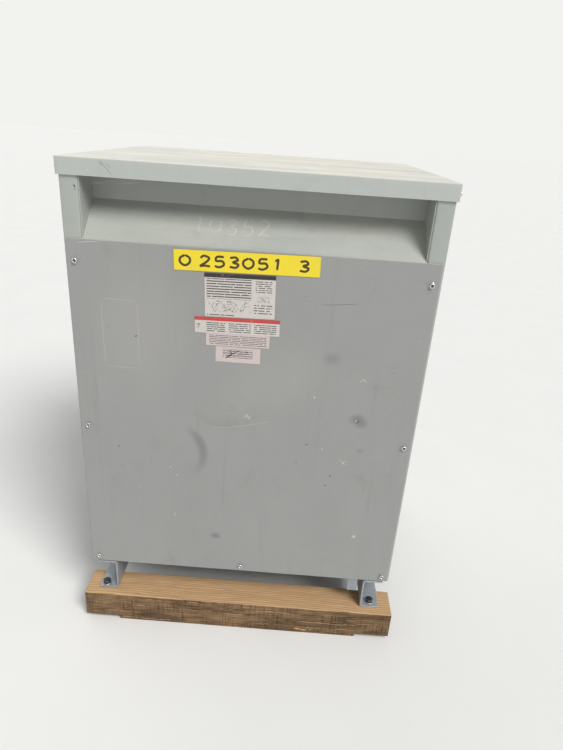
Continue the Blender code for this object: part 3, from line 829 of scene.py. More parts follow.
# Marks on the front cover: x, z under its top edge, length, width, turn in degrees,
# and tone from dark 0 to pale 1
COVER_MARKS = (
    (0.266, -0.388, 0.012, 0.0040, 62, 0.0), (0.262, -0.386, 0.006, 0.0028, 20, 1.0),
    (0.243, -0.505, 0.008, 0.0032, 80, 1.0), (0.236, -0.499, 0.005, 0.0026, 20, 1.0),
    (0.250, -0.510, 0.005, 0.0024, 140, 1.0), (0.149, -0.4605, 0.006, 0.0040, 0, 0.0),
    (0.002, -0.3955, 0.007, 0.0026, 35, 1.0), (-0.186, -0.555, 0.006, 0.0024, 75, 1.0),
    (-0.177, -0.701, 0.007, 0.0022, 115, 1.0), (0.2943, -0.7278, 0.0125, 0.0115, 0, 0.85),
    (-0.314, -0.505, 0.007, 0.0040, 70, 0.0), (0.1573, -0.332, 0.007, 0.0034, 120, 1.0),
    (-0.170, -0.577, 0.005, 0.0026, 15, 1.0), (-0.176, -0.696, 0.005, 0.0024, 60, 1.0),
    (0.205, -0.575, 0.007, 0.0030, 50, 0.0), (0.2147, -0.546, 0.006, 0.0044, 20, 0.0),
    (0.1876, -0.470, 0.006, 0.0030, 100, 1.0), (0.127, -0.5126, 0.005, 0.0034, 0, 0.0),
    (-0.259, -0.211, 0.009, 0.0034, 30, 0.1), (0.222, -0.470, 0.012, 0.0020, 8, 0.6),
)

# Strokes on the front: tone, width, and a path of x and z under the cover's top edge;
# above that edge lie the posts
COVER_STROKES = (
    (0.78, 0.0014, ((-0.0866, -0.433), (-0.040, -0.428), (0.012, -0.417), (0.060, -0.404))),
    (0.15, 0.0016, ((0.150, -0.107), (0.190, -0.104), (0.234, -0.099))),
    (1.0, 0.0018, ((-0.006, -0.402), (0.000, -0.390), (0.006, -0.401), (0.010, -0.392))),
    (1.0, 0.0018, ((0.258, -0.285), (0.266, -0.277), (0.272, -0.286))),
    (0.9, 0.0014, ((0.238, -0.512), (0.246, -0.500), (0.252, -0.506))),
    (0.7, 0.0018, ((-0.333, -0.128), (-0.295, -0.1275), (-0.253, -0.130))),
    (0.7, 0.0018, ((-0.253, -0.130), (-0.2535, -0.210), (-0.254, -0.2895))),
    (0.7, 0.0018, ((-0.333, -0.128), (-0.334, -0.210), (-0.332, -0.288))),
    (0.7, 0.0018, ((-0.332, -0.288), (-0.290, -0.2905), (-0.254, -0.2895))),
    (0.9, 0.0016, ((-0.378, -0.010), (-0.360, -0.006), (-0.332, -0.004))),
    (0.1, 0.0036, ((-0.3765, 0.1085), (-0.3740, 0.1060), (-0.3730, 0.1030))),
    (0.2, 0.0016, ((-0.3760, 0.1010), (-0.3710, 0.0985))),
)


def flake_field(rows, count, area, seed):
    """Measured marks, and more small ones scattered evenly over an area by a seeded draw."""
    draw = np.random.default_rng(seed)
    low_x, low_z, high_x, high_z = area
    extra = np.stack([draw.uniform(low_x, high_x, count), draw.uniform(low_z, high_z, count),
                      draw.uniform(0.0015, 0.0060, count), draw.uniform(0.0006, 0.0014, count),
                      draw.uniform(0, 180, count), draw.integers(0, 2, count).astype(float)], -1)
    return np.concatenate([np.asarray(rows, float), extra]) if len(rows) else extra


def build_cover_marks(name, turn, rows, seed, sheet_looks, material):
    """Chips and scuffs: flat lenses whose outline is an uneven ellipse, laid on the swollen cover."""
    top = corners_of("front_cover")[1][2]
    flakes = flake_field(rows, 46, (-0.38, -0.85, 0.38, -0.02), seed)
    around = 12
    angle = 2 * math.pi * np.arange(around) / around
    draw = np.random.default_rng(seed + 1)
    uneven = 1 + draw.uniform(-0.28, 0.28, (len(flakes), around))
    u = flakes[:, 2:3] / 2 * np.cos(angle) * uneven
    v = flakes[:, 3:4] / 2 * np.sin(angle) * uneven
    lean = np.radians(flakes[:, 4:5])
    reach = np.array([0.0, 1.0, 1.0, 0.0])[None, :, None]
    x = flakes[:, 0:1, None] + reach * (u * np.cos(lean) - v * np.sin(lean))[:, None, :]
    z = top + flakes[:, 1:2, None] + reach * (u * np.sin(lean) + v * np.cos(lean))[:, None, :]
    lift = np.array([0.00010, 0.00006, -0.00002, -0.00002])[None, :, None]
    y = cover_face(x * turn[0], z, sheet_looks) - lift
    points = np.stack([x, y, z], -1).reshape(-1, 3) * turn
    single = quad_rows(4, around, True)
    faces = (single[None] + 4 * around * np.arange(len(flakes))[:, None, None]).reshape(-1, 4)
    tone = np.repeat(flakes[:, 5], 4 * around)
    core = np.tile(np.repeat([1.0, 0.0, 0.0, 0.0], around), len(flakes))
    make_piece(name, points, faces, material, marks={"tone": tone, "core": core})


def ribbon(path, width, thick, place, taper=0.3):
    """Thin closed ribbon along a flat path, a low lens in section; place puts (u, v, height) in space."""
    path = np.asarray(path, float)
    ahead = np.gradient(path, axis=0)
    ahead /= np.maximum(np.linalg.norm(ahead, axis=1, keepdims=True), MERGE)
    left = np.stack([-ahead[:, 1], ahead[:, 0]], -1)
    share = np.linspace(0.0, 1.0, len(path))
    wide = width / 2 * (taper + (1 - taper) * np.sin(share * math.pi) ** 0.4)
    wide[[0, -1]] = MERGE * 3
    offset = np.array([-1.0, 0.0, 1.0, 0.0])
    height = np.array([0.35, 1.0, 0.35, 0.0]) * thick
    u = path[:, :1] + left[:, :1] * wide[:, None] * offset
    v = path[:, 1:] + left[:, 1:] * wide[:, None] * offset
    points = place(u, v, np.broadcast_to(height, u.shape))
    faces = quad_rows(len(path), 4, True)
    ends = np.array([[0, 1, 2, 3], [4 * len(path) - 4 + i for i in range(4)]])
    return points.reshape(-1, 3), np.concatenate([faces, ends])


def join_shapes(shapes):
    """Several point and face arrays as one."""
    starts = np.cumsum([0] + [len(points) for points, _ in shapes[:-1]])
    return (np.concatenate([points for points, _ in shapes]),
            np.concatenate([faces + start for (_, faces), start in zip(shapes, starts)]))


def smooth_path(points, steps):
    """Curve through points: each stretch blends its four nearest points by the Catmull-Rom weights."""
    points = np.asarray(points, float)
    padded = np.concatenate([2 * points[:1] - points[1:2], points, 2 * points[-1:] - points[-2:-1]])
    t = np.linspace(0.0, 1.0, steps, endpoint=False)[:, None]
    parts = [0.5 * (2 * b + (c - a) * t + (2 * a - 5 * b + 4 * c - d) * t ** 2
                    + (3 * b - a - 3 * c + d) * t ** 3)
             for a, b, c, d in zip(padded, padded[1:], padded[2:], padded[3:])]
    return np.concatenate(parts + [points[-1:]])


def ribbons(rows, thick, place):
    """Ribbons of rows that end in a width and a path."""
    return [ribbon(smooth_path(row[-1], PATH_STEPS), row[-2], thick, place) for row in rows]


def build_cover_strokes(sheet_looks, material):
    """Fine scratches and pale drawn lines: ribbons on the swollen cover, or on the posts above it."""
    top = corners_of("front_cover")[1][2]
    posts = corners_of("side_panel_left")[0][1]

    def place(u, v, height):
        y = np.where(v > 0, posts, cover_face(u, top + v, sheet_looks))
        return np.stack([u, y - height - HAIR, top + v], -1)

    shapes = ribbons(COVER_STROKES, 0.00006, place)
    tone = np.repeat([stroke[0] for stroke in COVER_STROKES], [len(points) for points, _ in shapes])
    points, faces = join_shapes(shapes)
    core = np.tile([0.0, 1.0, 0.0, 0.0], len(points) // 4)
    make_piece("cover_strokes", points, faces, material, marks={"tone": tone, "core": core})


# Hand-drawn strokes of plain digits, in a box one wide and one and a half tall
DIGITS = {
    "0": [[(0.5, 1.4), (0.12, 1.0), (0.1, 0.45), (0.45, 0.05), (0.82, 0.4), (0.85, 1.0), (0.5, 1.4)]],
    "1": [[(0.3, 1.15), (0.52, 1.4), (0.5, 0.75), (0.46, 0.05)]],
    "2": [[(0.12, 1.1), (0.4, 1.42), (0.8, 1.15), (0.6, 0.65), (0.12, 0.08), (0.45, 0.14), (0.9, 0.06)]],
    "3": [[(0.15, 1.3), (0.6, 1.4), (0.78, 1.05), (0.42, 0.76), (0.82, 0.5), (0.62, 0.08), (0.12, 0.16)]],
    "5": [[(0.85, 1.38), (0.3, 1.36), (0.22, 0.85), (0.7, 0.82), (0.82, 0.35), (0.45, 0.03), (0.1, 0.18)]],
}
CHALK_NUMBER = "10352"
STICKER_NUMBER = "02530513"


def digit_shapes(number, starts, size, width, taper, place):
    """Ribbons for the digits of a number, each in its own box of the given width and unit height."""
    return [ribbon(smooth_path(np.asarray(stroke) * size, PATH_STEPS) + np.asarray(start), width,
                   INK_THICKNESS, place, taper)
            for digit, start in zip(number, starts) for stroke in DIGITS[digit]]


def build_chalk(material):
    """Chalk number on the front deflector's slope, in the same smooth strokes as a hand would draw."""
    low, high = corners_of("front_deflector")
    seat = low[2] + DEFLECTOR_SEAT - SHEET / 2
    run = high[1] - DEFLECTOR_LIP - low[1] - SHEET / 2
    rise = high[2] - DEFLECTOR_WALL - SHEET / 2 - seat
    slope = math.hypot(run, rise)
    along = np.array([0.0, run / slope, rise / slope])
    up = np.array([0.0, -rise / slope, run / slope])
    foot = np.array([-0.138, low[1] + SHEET / 2, seat]) + up * SHEET / 2

    def place(u, v, height):
        return (foot + u[..., None] * np.array([1.0, 0.0, 0.0]) + v[..., None] * along
                + (height[..., None] + HAIR) * up)

    pitch = 0.0352
    starts = [(index * pitch, 0.036 + 0.002 * math.sin(index * 2.0)) for index in range(len(CHALK_NUMBER))]
    shapes = digit_shapes(CHALK_NUMBER, starts, (0.030, 0.030), 0.0036, 0.3, place)
    make_piece("chalk_number", *join_shapes(shapes), material)


# Pen strokes on the stickers: row in STICKERS, width, and a path of u and v about the sticker's middle
PEN_STROKES = (
    (4, 0.0018, ((-0.0280, -0.0105), (-0.0230, -0.0045), (-0.0110, 0.0030), (0.0040, 0.0125))),
    (4, 0.0026, ((-0.0250, -0.0080), (-0.0200, -0.0030), (-0.0130, 0.0010))),
    (2, 0.0012, ((-0.0920, -0.0010), (-0.0870, 0.0020), (-0.0820, 0.0005))),
    (2, 0.0012, ((-0.0850, 0.0035), (-0.0860, -0.0030), (-0.0900, -0.0075))),
)


def on_sticker(index, sheet_looks):
    """Function that puts a flat path (u, v) and its height on one sticker."""
    proud = STICKER_LAYERS[index] * LAYER_STEP + 0.00020

    def place(u, v, lift):
        x, z = on_cover(STICKERS[index], u, v)
        return np.stack([x, cover_face(x, z, sheet_looks) - proud - lift, z], -1)

    return place


def build_pen_strokes(sheet_looks, material):
    """Hand-drawn pen strokes on the lower stickers."""
    shapes = [shape for row in PEN_STROKES
              for shape in ribbons([row], INK_THICKNESS, on_sticker(row[0], sheet_looks))]
    make_piece("pen_strokes", *join_shapes(shapes), material)


def build_sticker_number(sheet_looks, material):
    """Plain printed number on the yellow sticker, in the spacing of its print."""
    starts = [(u, -0.0122) for u in (-0.146, -0.103, -0.072, -0.041, -0.010, 0.021, 0.052, 0.109)]
    place = on_sticker(0, sheet_looks)
    shapes = digit_shapes(STICKER_NUMBER, starts, (0.0275, 0.0165), 0.0052, 0.95, place)
    make_piece("sticker_number", *join_shapes(shapes), material)


# Scratches on the lid's front flange and strands under it: paths of x and z over the cover's top edge
FLANGE_SCRATCHES = (
    ((-0.3165, 0.1590), (-0.3080, 0.1480), (-0.2935, 0.1315)),
    ((-0.3190, 0.1560), (-0.3160, 0.1530), (-0.3130, 0.1500)),
    ((-0.3030, 0.1530), (-0.2990, 0.1485)), ((-0.2985, 0.1500), (-0.2960, 0.1465)),
)
WEB_STRANDS = (
    ((-0.3000, 0.1285), (-0.2975, 0.1225), (-0.2880, 0.1175), (-0.2730, 0.1168), (-0.2575, 0.1178),
     (-0.2380, 0.1212), (-0.2185, 0.1250), (-0.2080, 0.1282)),
    ((-0.3360, 0.1285), (-0.3310, 0.1165), (-0.3180, 0.1150), (-0.3060, 0.1190), (-0.2960, 0.1230)),
    ((-0.2900, 0.1285), (-0.2850, 0.1230), (-0.2700, 0.1200), (-0.2480, 0.1215), (-0.2360, 0.1283)),
)


def build_lid_scratch(light, thread_material):
    """Scratch across the front flange, and the wisp of torn web that hangs under it."""
    front = corners_of("lid")[0][1]
    cover_top = corners_of("front_cover")[1][2]
    for name, paths, setback, width, thick, steps, taper, material in (
            ("flange_scratches", FLANGE_SCRATCHES, -0.00005, 0.0010, 0.00005, 6, 0.3, light),
            ("web_strands", WEB_STRANDS, 0.0035, 0.0006, 0.0003, 8, 0.6, thread_material)):

        def place(u, v, height):
            return np.stack([u, front + setback - height, cover_top + v], -1)

        shapes = [ribbon(smooth_path(path, steps), width, thick, place, taper) for path in paths]
        make_piece(name, *join_shapes(shapes), material)


# Shader nodes


class Signal:
    """Output of a shader node; sums, differences and products of signals are Math nodes."""

    def __init__(self, socket):
        self.socket = socket
        self.tree = socket.id_data

    def math(self, operation, *others):
        """Result of a Math node whose first input is this signal."""
        return put(self.tree, "Math", [self, *others], operation=operation)

    def __add__(self, other):
        return self.math("ADD", other)

    def __sub__(self, other):
        return self.math("SUBTRACT", other)

    def __mul__(self, other):
        return self.math("MULTIPLY", other)


def fill(node, inputs):
    """Gives a node's inputs, by place or by name, plain values or other nodes' signals."""
    for key, value in inputs.items() if isinstance(inputs, dict) else enumerate(inputs):
        socket = node.inputs[key]
        if isinstance(value, Signal):
            node.id_data.links.new(value.socket, socket)
        elif socket.type == "RGBA" and len(value) == 3:
            socket.default_value = (*value, 1.0)
        else:
            socket.default_value = value


def put(tree, kind, inputs=(), output=0, **settings):
    """Signal of a new node with its settings and inputs."""
    node = tree.nodes.new("ShaderNode" + kind)
    for name, value in settings.items():
        setattr(node, name, value)
    fill(node, inputs)
    return Signal(node.outputs[output])


def spread(value, low, high, to_low=0.0, to_high=1.0):
    """Value eased from one range to another."""
    ranges = {"Value": value, "From Min": low, "From Max": high, "To Min": to_low, "To Max": to_high}
    return put(value.tree, "MapRange", ranges, "Result", interpolation_type="SMOOTHSTEP")


def around(noise, amount, middle=1.0):
    """Noise brought to another middle value, with the given reach in all."""
    return (noise - 0.5) * amount + middle


def toned(colour, brightness):
    """Colour made darker or paler."""
    return put(brightness.tree, "HueSaturation", {"Color": colour, "Value": brightness})


def blend(share, first, second):
    """Colour between two colours."""
    return put(share.tree, "Mix", {0: share, 6: first, 7: second}, 2, data_type="RGBA")


def layered(colour, *layers):
    """Colour under layers, each a mask and its own colour."""
    for mask, layer_colour in layers:
        colour = blend(mask, colour, layer_colour)
    return colour


def stretch(vector, scale=(1.0, 1.0, 1.0), turn=(0.0, 0.0, 0.0), shift=(0.0, 0.0, 0.0)):
    """Coordinates scaled, turned and shifted by a Mapping node."""
    places = {"Vector": vector, "Location": shift, "Rotation": turn, "Scale": scale}
    return put(vector.tree, "Mapping", places)


def cloud(vector, scale, detail=3.0, rough=0.55, warp=0.0):
    """Noise from 0 to 1."""
    return put(vector.tree, "TexNoise", {"Vector": vector, "Scale": scale, "Detail": detail,
                                         "Roughness": rough, "Distortion": warp})


def streak(vector, scale, detail, rough=0.55, warp=0.0, turn=(0.0, 0.0, 0.0), shift=(0.0, 0.0, 0.0)):
    """Noise with its own scale along each axis."""
    return cloud(stretch(vector, scale, turn, shift), 1.0, detail, rough, warp)


def attribute(vector, label):
    """Value that the piece itself carries at each point."""
    return put(vector.tree, "Attribute", output="Fac", attribute_name=label)


def normal(vector):
    """Normal of the surface."""
    return put(vector.tree, "NewGeometry", output="Normal")


def upward(vector):
    """How far the surface looks up: the Z of its normal."""
    return put(vector.tree, "SeparateXYZ", [normal(vector)], "Z")


def length(vector):
    """Length of a vector."""
    return put(vector.tree, "VectorMath", [vector], "Value", operation="LENGTH")


def distance(vector, centre, size=(1.0, 1.0), turn=0.0):
    """Distance from a point of the front or rear face, in sizes of a turned oval."""
    moved = put(vector.tree, "VectorMath", [vector, (-centre[0], 0.0, -centre[1])], operation="ADD")
    turned = stretch(moved, (1.0, 0.0, 1.0), (0.0, turn, 0.0))
    return length(stretch(turned, (1.0 / size[0], 0.0, 1.0 / size[1])))


def blot(vector, centre, size, turn=0.0):
    """Soft oval mask about a point: 1 at its middle, 0 at its rim."""
    return spread(distance(vector, centre, size, turn), 1.0, 0.15)


def arc_band(vector, centre, radius, width):
    """Soft band along a circle about a point."""
    return spread((distance(vector, centre) - radius).math("ABSOLUTE"), width, width * 0.1)


def socket_kind(label):
    """Kind of a group's socket, which its label ends in."""
    return "NodeSocket" + {"Vector": "Vector", "Colour": "Color"}.get(label.split()[-1], "Float")


def new_group(name, defaults):
    """Shader node group with its inputs; returns its tree and the signals of its inputs."""
    tree = bpy.data.node_groups.new(name, "ShaderNodeTree")
    for label, default in defaults.items():
        socket = tree.interface.new_socket(label, in_out="INPUT", socket_type=socket_kind(label))
        if default is not None:
            socket.default_value = default
    entry = tree.nodes.new("NodeGroupInput")
    return tree, {label: Signal(entry.outputs[label]) for label in defaults}


def finish_group(tree, results):
    """The group with an output for each result."""
    for label in results:
        tree.interface.new_socket(label, in_out="OUTPUT", socket_type=socket_kind(label))
    fill(tree.nodes.new("NodeGroupOutput"), results)
    return tree


def uneven_enamel_group(name):
    """Enamel tone that drifts, runs downward and carries specks, with its roughness and peel."""
    tree, given = new_group(name, {"Vector": None, "Colour": None, "Grime Colour": None, "Tone": 0.08,
                                   "Runs": 0.2, "Specks": 0.3, "Smudges": 0.2})
    vector, grime = given["Vector"], given["Grime Colour"]
    broad = cloud(vector, 2.6, 4.0, 0.6, 0.4)
    patch = cloud(stretch(vector, (1.0, 1.0, 0.45), shift=(3.0, 1.0, 7.0)), 9.0, 5.0, 0.62, 0.8)
    tone = around(patch, given["Tone"] * 0.7, around(broad, given["Tone"]))
    runs = spread(streak(vector, (26.0, 26.0, 1.1), 4.0, 0.6), 0.52, 0.76) * spread(patch, 0.35, 0.7)
    smudge = spread(cloud(stretch(vector, shift=(9.0, 2.0, 5.0)), 5.5, 6.0, 0.68, 1.4), 0.54, 0.80)
    speck = spread(cloud(vector, 430.0, 1.0, 0.4), 0.70, 0.76)
    speck = speck * spread(cloud(vector, 36.0, 2.0), 0.42, 0.7)
    colour = layered(toned(given["Colour"], tone), (runs * given["Runs"], grime),
                     (smudge * given["Smudges"], grime), (speck * given["Specks"], grime))
    wiped = cloud(stretch(vector, (1.3, 1.3, 3.2), (0.0, 0.6, 0.0)), 6.0, 5.0, 0.6, 1.1)
    peel = cloud(vector, 520.0, 2.0, 0.5)
    return finish_group(tree, {"Colour": colour, "Roughness": (wiped - 0.5) * 0.28 + smudge * 0.10,
                               "Height": speck * 0.6 + peel * 0.5})


def settled_dust_group(name):
    """Dust on faces that look up, wiped into streaks along the width."""
    tree, given = new_group(name, {"Vector": None, "Colour": None, "Dust Colour": None, "Amount": 0.5})
    vector = given["Vector"]
    streaks = streak(vector, (2.0, 17.0, 8.0), 7.0, 0.68, 1.2)
    patches = streak(vector, (3.4, 5.0, 4.0), 6.0, 0.7, 0.8, shift=(2.0, 5.0, 1.0))
    film = spread(streaks, 0.34, 0.68) * 0.50 + cloud(vector, 70.0, 5.0, 0.75) * 0.30
    film = film + spread(patches, 0.34, 0.66) * 0.34
    mask = put(tree, "Clamp", [spread(upward(vector), 0.35, 0.95) * film * given["Amount"]])
    return finish_group(tree, {"Colour": blend(mask, given["Colour"], given["Dust Colour"]), "Mask": mask})


def worn_and_highlit_edge_group(name):
    """Mask of rubbed edges, which also paints a highlight along the bends: where a rounded normal leaves
    the true one, broken up by noise.
    """
    tree, given = new_group(name, {"Vector": None, "Width": 0.002, "Amount": 0.6})
    rounded = put(tree, "Bevel", {"Radius": given["Width"]}, samples=4)
    match = put(tree, "VectorMath", [rounded, normal(rounded)], "Value", operation="DOT_PRODUCT")
    broken = spread(cloud(given["Vector"], 95.0, 5.0, 0.7), 0.34, 0.62)
    return finish_group(tree, {"Mask": spread(match, 0.995, 0.86) * broken * given["Amount"]})


def fine_scratch_group(name):
    """Mask of hair scratches: two stretched noises, each turned its own way and kept at its crests."""
    tree, given = new_group(name, {"Vector": None, "Amount": 0.4})
    masks = []
    for turn, crest in ((0.55, 0.735), (-0.9, 0.745)):
        turned = stretch(given["Vector"], turn=(0.3, turn, 0.2))
        hair = streak(turned, (520.0, 300.0, 9.0), 1.0, 0.4)
        masks.append(spread(hair, crest, crest + 0.05) * spread(cloud(turned, 7.0, 3.0), 0.50, 0.66))
    return finish_group(tree, {"Mask": masks[0].math("MAXIMUM", masks[1]) * given["Amount"]})


def tarnished_zinc_group(name):
    """Zinc in faint crystals with white bloom and brown rust: colour, roughness drift and height."""
    tree, given = new_group(name, {"Vector": None, "Colour": None, "Bloom": 0.3, "Rust": 0.1,
                                   "Crystal Size": 120.0})
    vector = given["Vector"]
    crystal = put(tree, "TexVoronoi", {"Vector": vector, "Scale": given["Crystal Size"]}, "Color")
    flake = put(tree, "SeparateColor", [crystal])
    bloom = spread(cloud(vector, 48.0, 6.0, 0.72, 0.6), 0.46, 0.72)
    rust = spread(cloud(stretch(vector, shift=(4.0, 8.0, 1.0)), 70.0, 6.0, 0.75), 0.56, 0.74)
    colour = layered(toned(given["Colour"], around(flake, 0.16)),
                     (bloom * given["Bloom"], srgb(188, 190, 188)),
                     (rust * given["Rust"], srgb(112, 70, 40)))
    return finish_group(tree, {"Colour": colour, "Roughness": bloom * 0.22 + rust * 0.2,
                               "Height": flake * 0.25 + rust * 0.6})


def timber_grain_group(name):
    """Year rings about a pith line along X, with fibres stretched along the grain."""
    tree, given = new_group(name, {"Vector": None, "Light Colour": None, "Dark Colour": None,
                                   "Rings": 190.0})
    vector, dark = given["Vector"], given["Dark Colour"]
    drift = streak(vector, (2.4, 9.0, 9.0), 3.0, 0.5, 0.6)
    reach = length(stretch(vector, (0.0, 1.0, 1.0))) + drift * 0.030
    phase = (reach * given["Rings"]).math("FRACT")
    late = spread(phase, 0.35, 0.92) * spread(phase, 1.0, 0.94)
    fibre = streak(vector, (9.0, 760.0, 760.0), 3.0, 0.6)
    pore = spread(streak(vector, (22.0, 1500.0, 1500.0), 2.0, 0.5), 0.55, 0.75)
    colour = toned(blend(late * 0.75, given["Light Colour"], dark), around(fibre, 0.55))
    return finish_group(tree, {"Colour": blend(pore * 0.45, colour, dark), "Fibre": fibre,
                               "Height": fibre * 0.7 + late * 0.3})


GROUPS = {"uneven enamel": uneven_enamel_group, "settled dust": settled_dust_group,
          "worn edge": worn_and_highlit_edge_group, "fine scratches": fine_scratch_group,
          "tarnished zinc": tarnished_zinc_group, "timber grain": timber_grain_group}


def use(vector, name, inputs):
    """Signals of a shared group with this material's values; the group is made the first time."""
    node = vector.tree.nodes.new("ShaderNodeGroup")
    node.node_tree = bpy.data.node_groups.get(name) or GROUPS[name](name)
    fill(node, {"Vector": vector, **inputs})
    return {socket.name: Signal(socket) for socket in node.outputs}


# Materials


def new_material(name):
    """Material with its shader and its object coordinates."""
    material = bpy.data.materials.new(name)
    material.use_nodes = True
    tree = material.node_tree
    return material, tree.nodes["Principled BSDF"], put(tree, "TexCoord", output="Object")


def bump(height, reach, strength):
    """Normal from a height."""
    return put(height.tree, "Bump", {"Height": height, "Distance": reach, "Strength": strength})


def enamel(name, looks, colour, roughness, tone=0.10, runs=0.2, specks=0.3, smudges=0.15,
           dust=0.5, wear=0.5, scratches=0.35, blots=(), arcs=()):
    """Painted sheet: uneven enamel under dust, with worn edges that also paint a highlight along the bends,
    hair scratches, blots and smears.
    """
    material, shader, place = new_material(name)
    paint = use(place, "uneven enamel", {"Colour": colour, "Grime Colour": looks.grime_colour, "Tone": tone,
                                         "Runs": runs, "Specks": specks, "Smudges": smudges})
    shown = paint["Colour"]
    for centre, size, turn, strength, blot_colour in blots:
        shown = blend(blot(place, centre, size, turn) * strength, shown, blot_colour)
    for centre, radius, width, window, size, strength, smear_colour in arcs:
        mask = arc_band(place, centre, radius, width) * blot(place, window, size)
        shown = blend(mask * strength, shown, smear_colour)
    hairs = use(place, "fine scratches", {"Amount": scratches})["Mask"]
    # Worn edges: rubbed enamel that also paints a highlight along the bends
    edge = use(place, "worn edge", {"Width": 0.0022, "Amount": wear})["Mask"]
    shown = layered(shown, (hairs, looks.bare_and_highlight_colour), (edge, looks.bare_and_highlight_colour))
    # Dust on upward faces, pale enough to paint light on them as well
    film = use(place, "settled dust", {"Colour": shown, "Dust Colour": looks.dust_colour, "Amount": dust})
    fill(shader, {"Base Color": film["Colour"], "Specular IOR Level": 0.5,
                  "Roughness": paint["Roughness"] + roughness + film["Mask"] * 0.3,
                  "Normal": bump(paint["Height"] - hairs * 0.8, 0.00012, 0.6)})
    return material


def plated(name, colour, metallic, roughness, bloom, rust, crystal, wear=0.3, peel=0.00008):
    """Zinc-plated or bare steel with bloom, rust, and bright edges that are worn zinc and painted
    highlight.
    """
    material, shader, place = new_material(name)
    zinc = use(place, "tarnished zinc", {"Colour": colour, "Bloom": bloom, "Rust": rust,
                                         "Crystal Size": crystal})
    # Bright edges: worn zinc, and painted highlight along the edges
    edge = use(place, "worn edge", {"Width": 0.0016, "Amount": wear})["Mask"]
    # The piece's own mark: on the screws, painted shade in the dimple, and grime and painted shade round
    # the collar
    shown = layered(zinc["Colour"], (attribute(place, "dirt_and_shade") * 0.88, srgb(44, 42, 40)),
                    (edge, srgb(216, 218, 218)))
    fill(shader, {"Base Color": shown, "Metallic": metallic, "Roughness": zinc["Roughness"] + roughness,
                  "Normal": bump(zinc["Height"], peel, 0.7)})
    return material


def timber_material(name, looks, pith, shift):
    """Rough sawn timber: year rings, fibres, sides weathered and in painted shade, painted shade in cracks,
    furrows and saw marks, painted highlight on fibre crests, pale fresh chips.
    """
    material, shader, place = new_material(name)
    centred = stretch(place, shift=(shift, -pith[0], -pith[1]))
    grain = use(centred, "timber grain", {"Light Colour": looks.light_colour,
                                          "Dark Colour": looks.dark_colour, "Rings": 175.0})
    side = spread(upward(place), 0.75, 0.2)
    stain = spread(streak(centred, (6.0, 30.0, 30.0), 6.0, 0.7, 0.6), 0.38, 0.66)
    lines = streak(centred, (14.0, 420.0, 420.0), 4.0, 0.65, 0.3)
    furrow = spread(lines, 0.50, 0.66) * (side * 0.6 + 0.2)
    teeth = streak(centred, (230.0, 14.0, 14.0), 3.0, 0.6, 0.3, turn=(0.0, 0.05, 0.0))
    sawn = spread(teeth, 0.46, 0.62) * spread(streak(centred, (11.0, 24.0, 24.0), 4.0, 0.7), 0.36, 0.62)
    # Layers: weathering with painted shade on the sides, painted shade in the furrows, painted highlight on
    # the fibre crests, painted shade of the saw marks, painted shade in the cracks, pale fresh chips
    shown = layered(grain["Colour"],
                    (side * 0.60 + stain * (side * 0.22 + 0.08), looks.weathering_and_shade_colour),
                    (furrow, srgb(52, 36, 22)),
                    (spread(lines, 0.42, 0.30) * side * 0.40, srgb(166, 132, 92)),
                    (sawn * side * 0.62, srgb(46, 34, 22)),
                    (spread(attribute(place, "hollow"), 0.25, 0.8), srgb(30, 20, 13)),
                    (spread(attribute(place, "fresh"), 0.2, 0.7), srgb(206, 172, 128)))
    fill(shader, {"Base Color": shown, "Roughness": spread(grain["Fibre"], 0.2, 0.8, 0.72, 0.92),
                  "Specular IOR Level": 0.25, "Normal": bump(grain["Height"] - furrow * 0.8, 0.0006, 0.8)})
    return material


def lamination_material(name, looks):
    """Edges of stacked core sheets: fine uneven lines across the stack, with varnish and rust bloom."""
    material, shader, place = new_material(name)
    line = streak(place, (3.0, 1400.0, 3.0), 2.0, 0.5)
    stack = streak(place, (1.0, 120.0, 1.0), 2.0, 0.5)
    rust = spread(cloud(place, 26.0, 6.0, 0.72), 0.52, 0.74)
    shown = toned(looks.steel_colour, around(line, 0.7, stack * 0.3 + 0.85))
    fill(shader, {"Base Color": blend(rust * 0.45, shown, srgb(104, 62, 38)), "Metallic": 0.5,
                  "Roughness": spread(stack, 0.2, 0.8, 0.42, 0.62), "Normal": bump(line, 0.0003, 0.8)})
    return material


def winding_material(name, looks):
    """Varnished windings: brown resin pooled in the grooves, paler on the turns, with paper mottle."""
    material, shader, place = new_material(name)
    mottle = cloud(place, 34.0, 6.0, 0.68, 0.5)
    drips = streak(place, (60.0, 60.0, 3.0), 4.0, 0.6)
    level = upward(place).math("ABSOLUTE")
    shown = layered(toned(looks.varnish_colour, around(mottle, 0.6)),
                    (spread(drips, 0.5, 0.72, 0.0, 0.5), srgb(58, 32, 18)),
                    (spread(level, 0.7, 0.98, 0.0, 0.6), looks.board_colour))
    fill(shader, {"Base Color": shown, "Roughness": spread(mottle, 0.3, 0.7, 0.24, 0.5),
                  "Coat Weight": 0.25, "Coat Roughness": 0.2, "Normal": bump(drips, 0.0004, 0.5)})
    return material


def plain_material(name, colour, roughness, scale, depth):
    """Board, rubber, thread and the like: mottled colour with a fine grain."""
    material, shader, place = new_material(name)
    mottle = cloud(place, scale, 6.0, 0.7)
    fill(shader, {"Base Color": toned(colour, around(mottle, 0.35)), "Roughness": mottle * 0.2 + roughness,
                  "Normal": bump(mottle, depth, 0.6)})
    return material


def within(value, low, high):
    """1 where the value lies between low and high."""
    return value.math("GREATER_THAN", low) * value.math("LESS_THAN", high)


def box_mask(spot, box):
    """1 inside a box of a sticker: left, bottom, right and top as shares of its width and height."""
    left, bottom, right, top = box
    return within(spot[0], left, right) * within(spot[1], bottom, top)


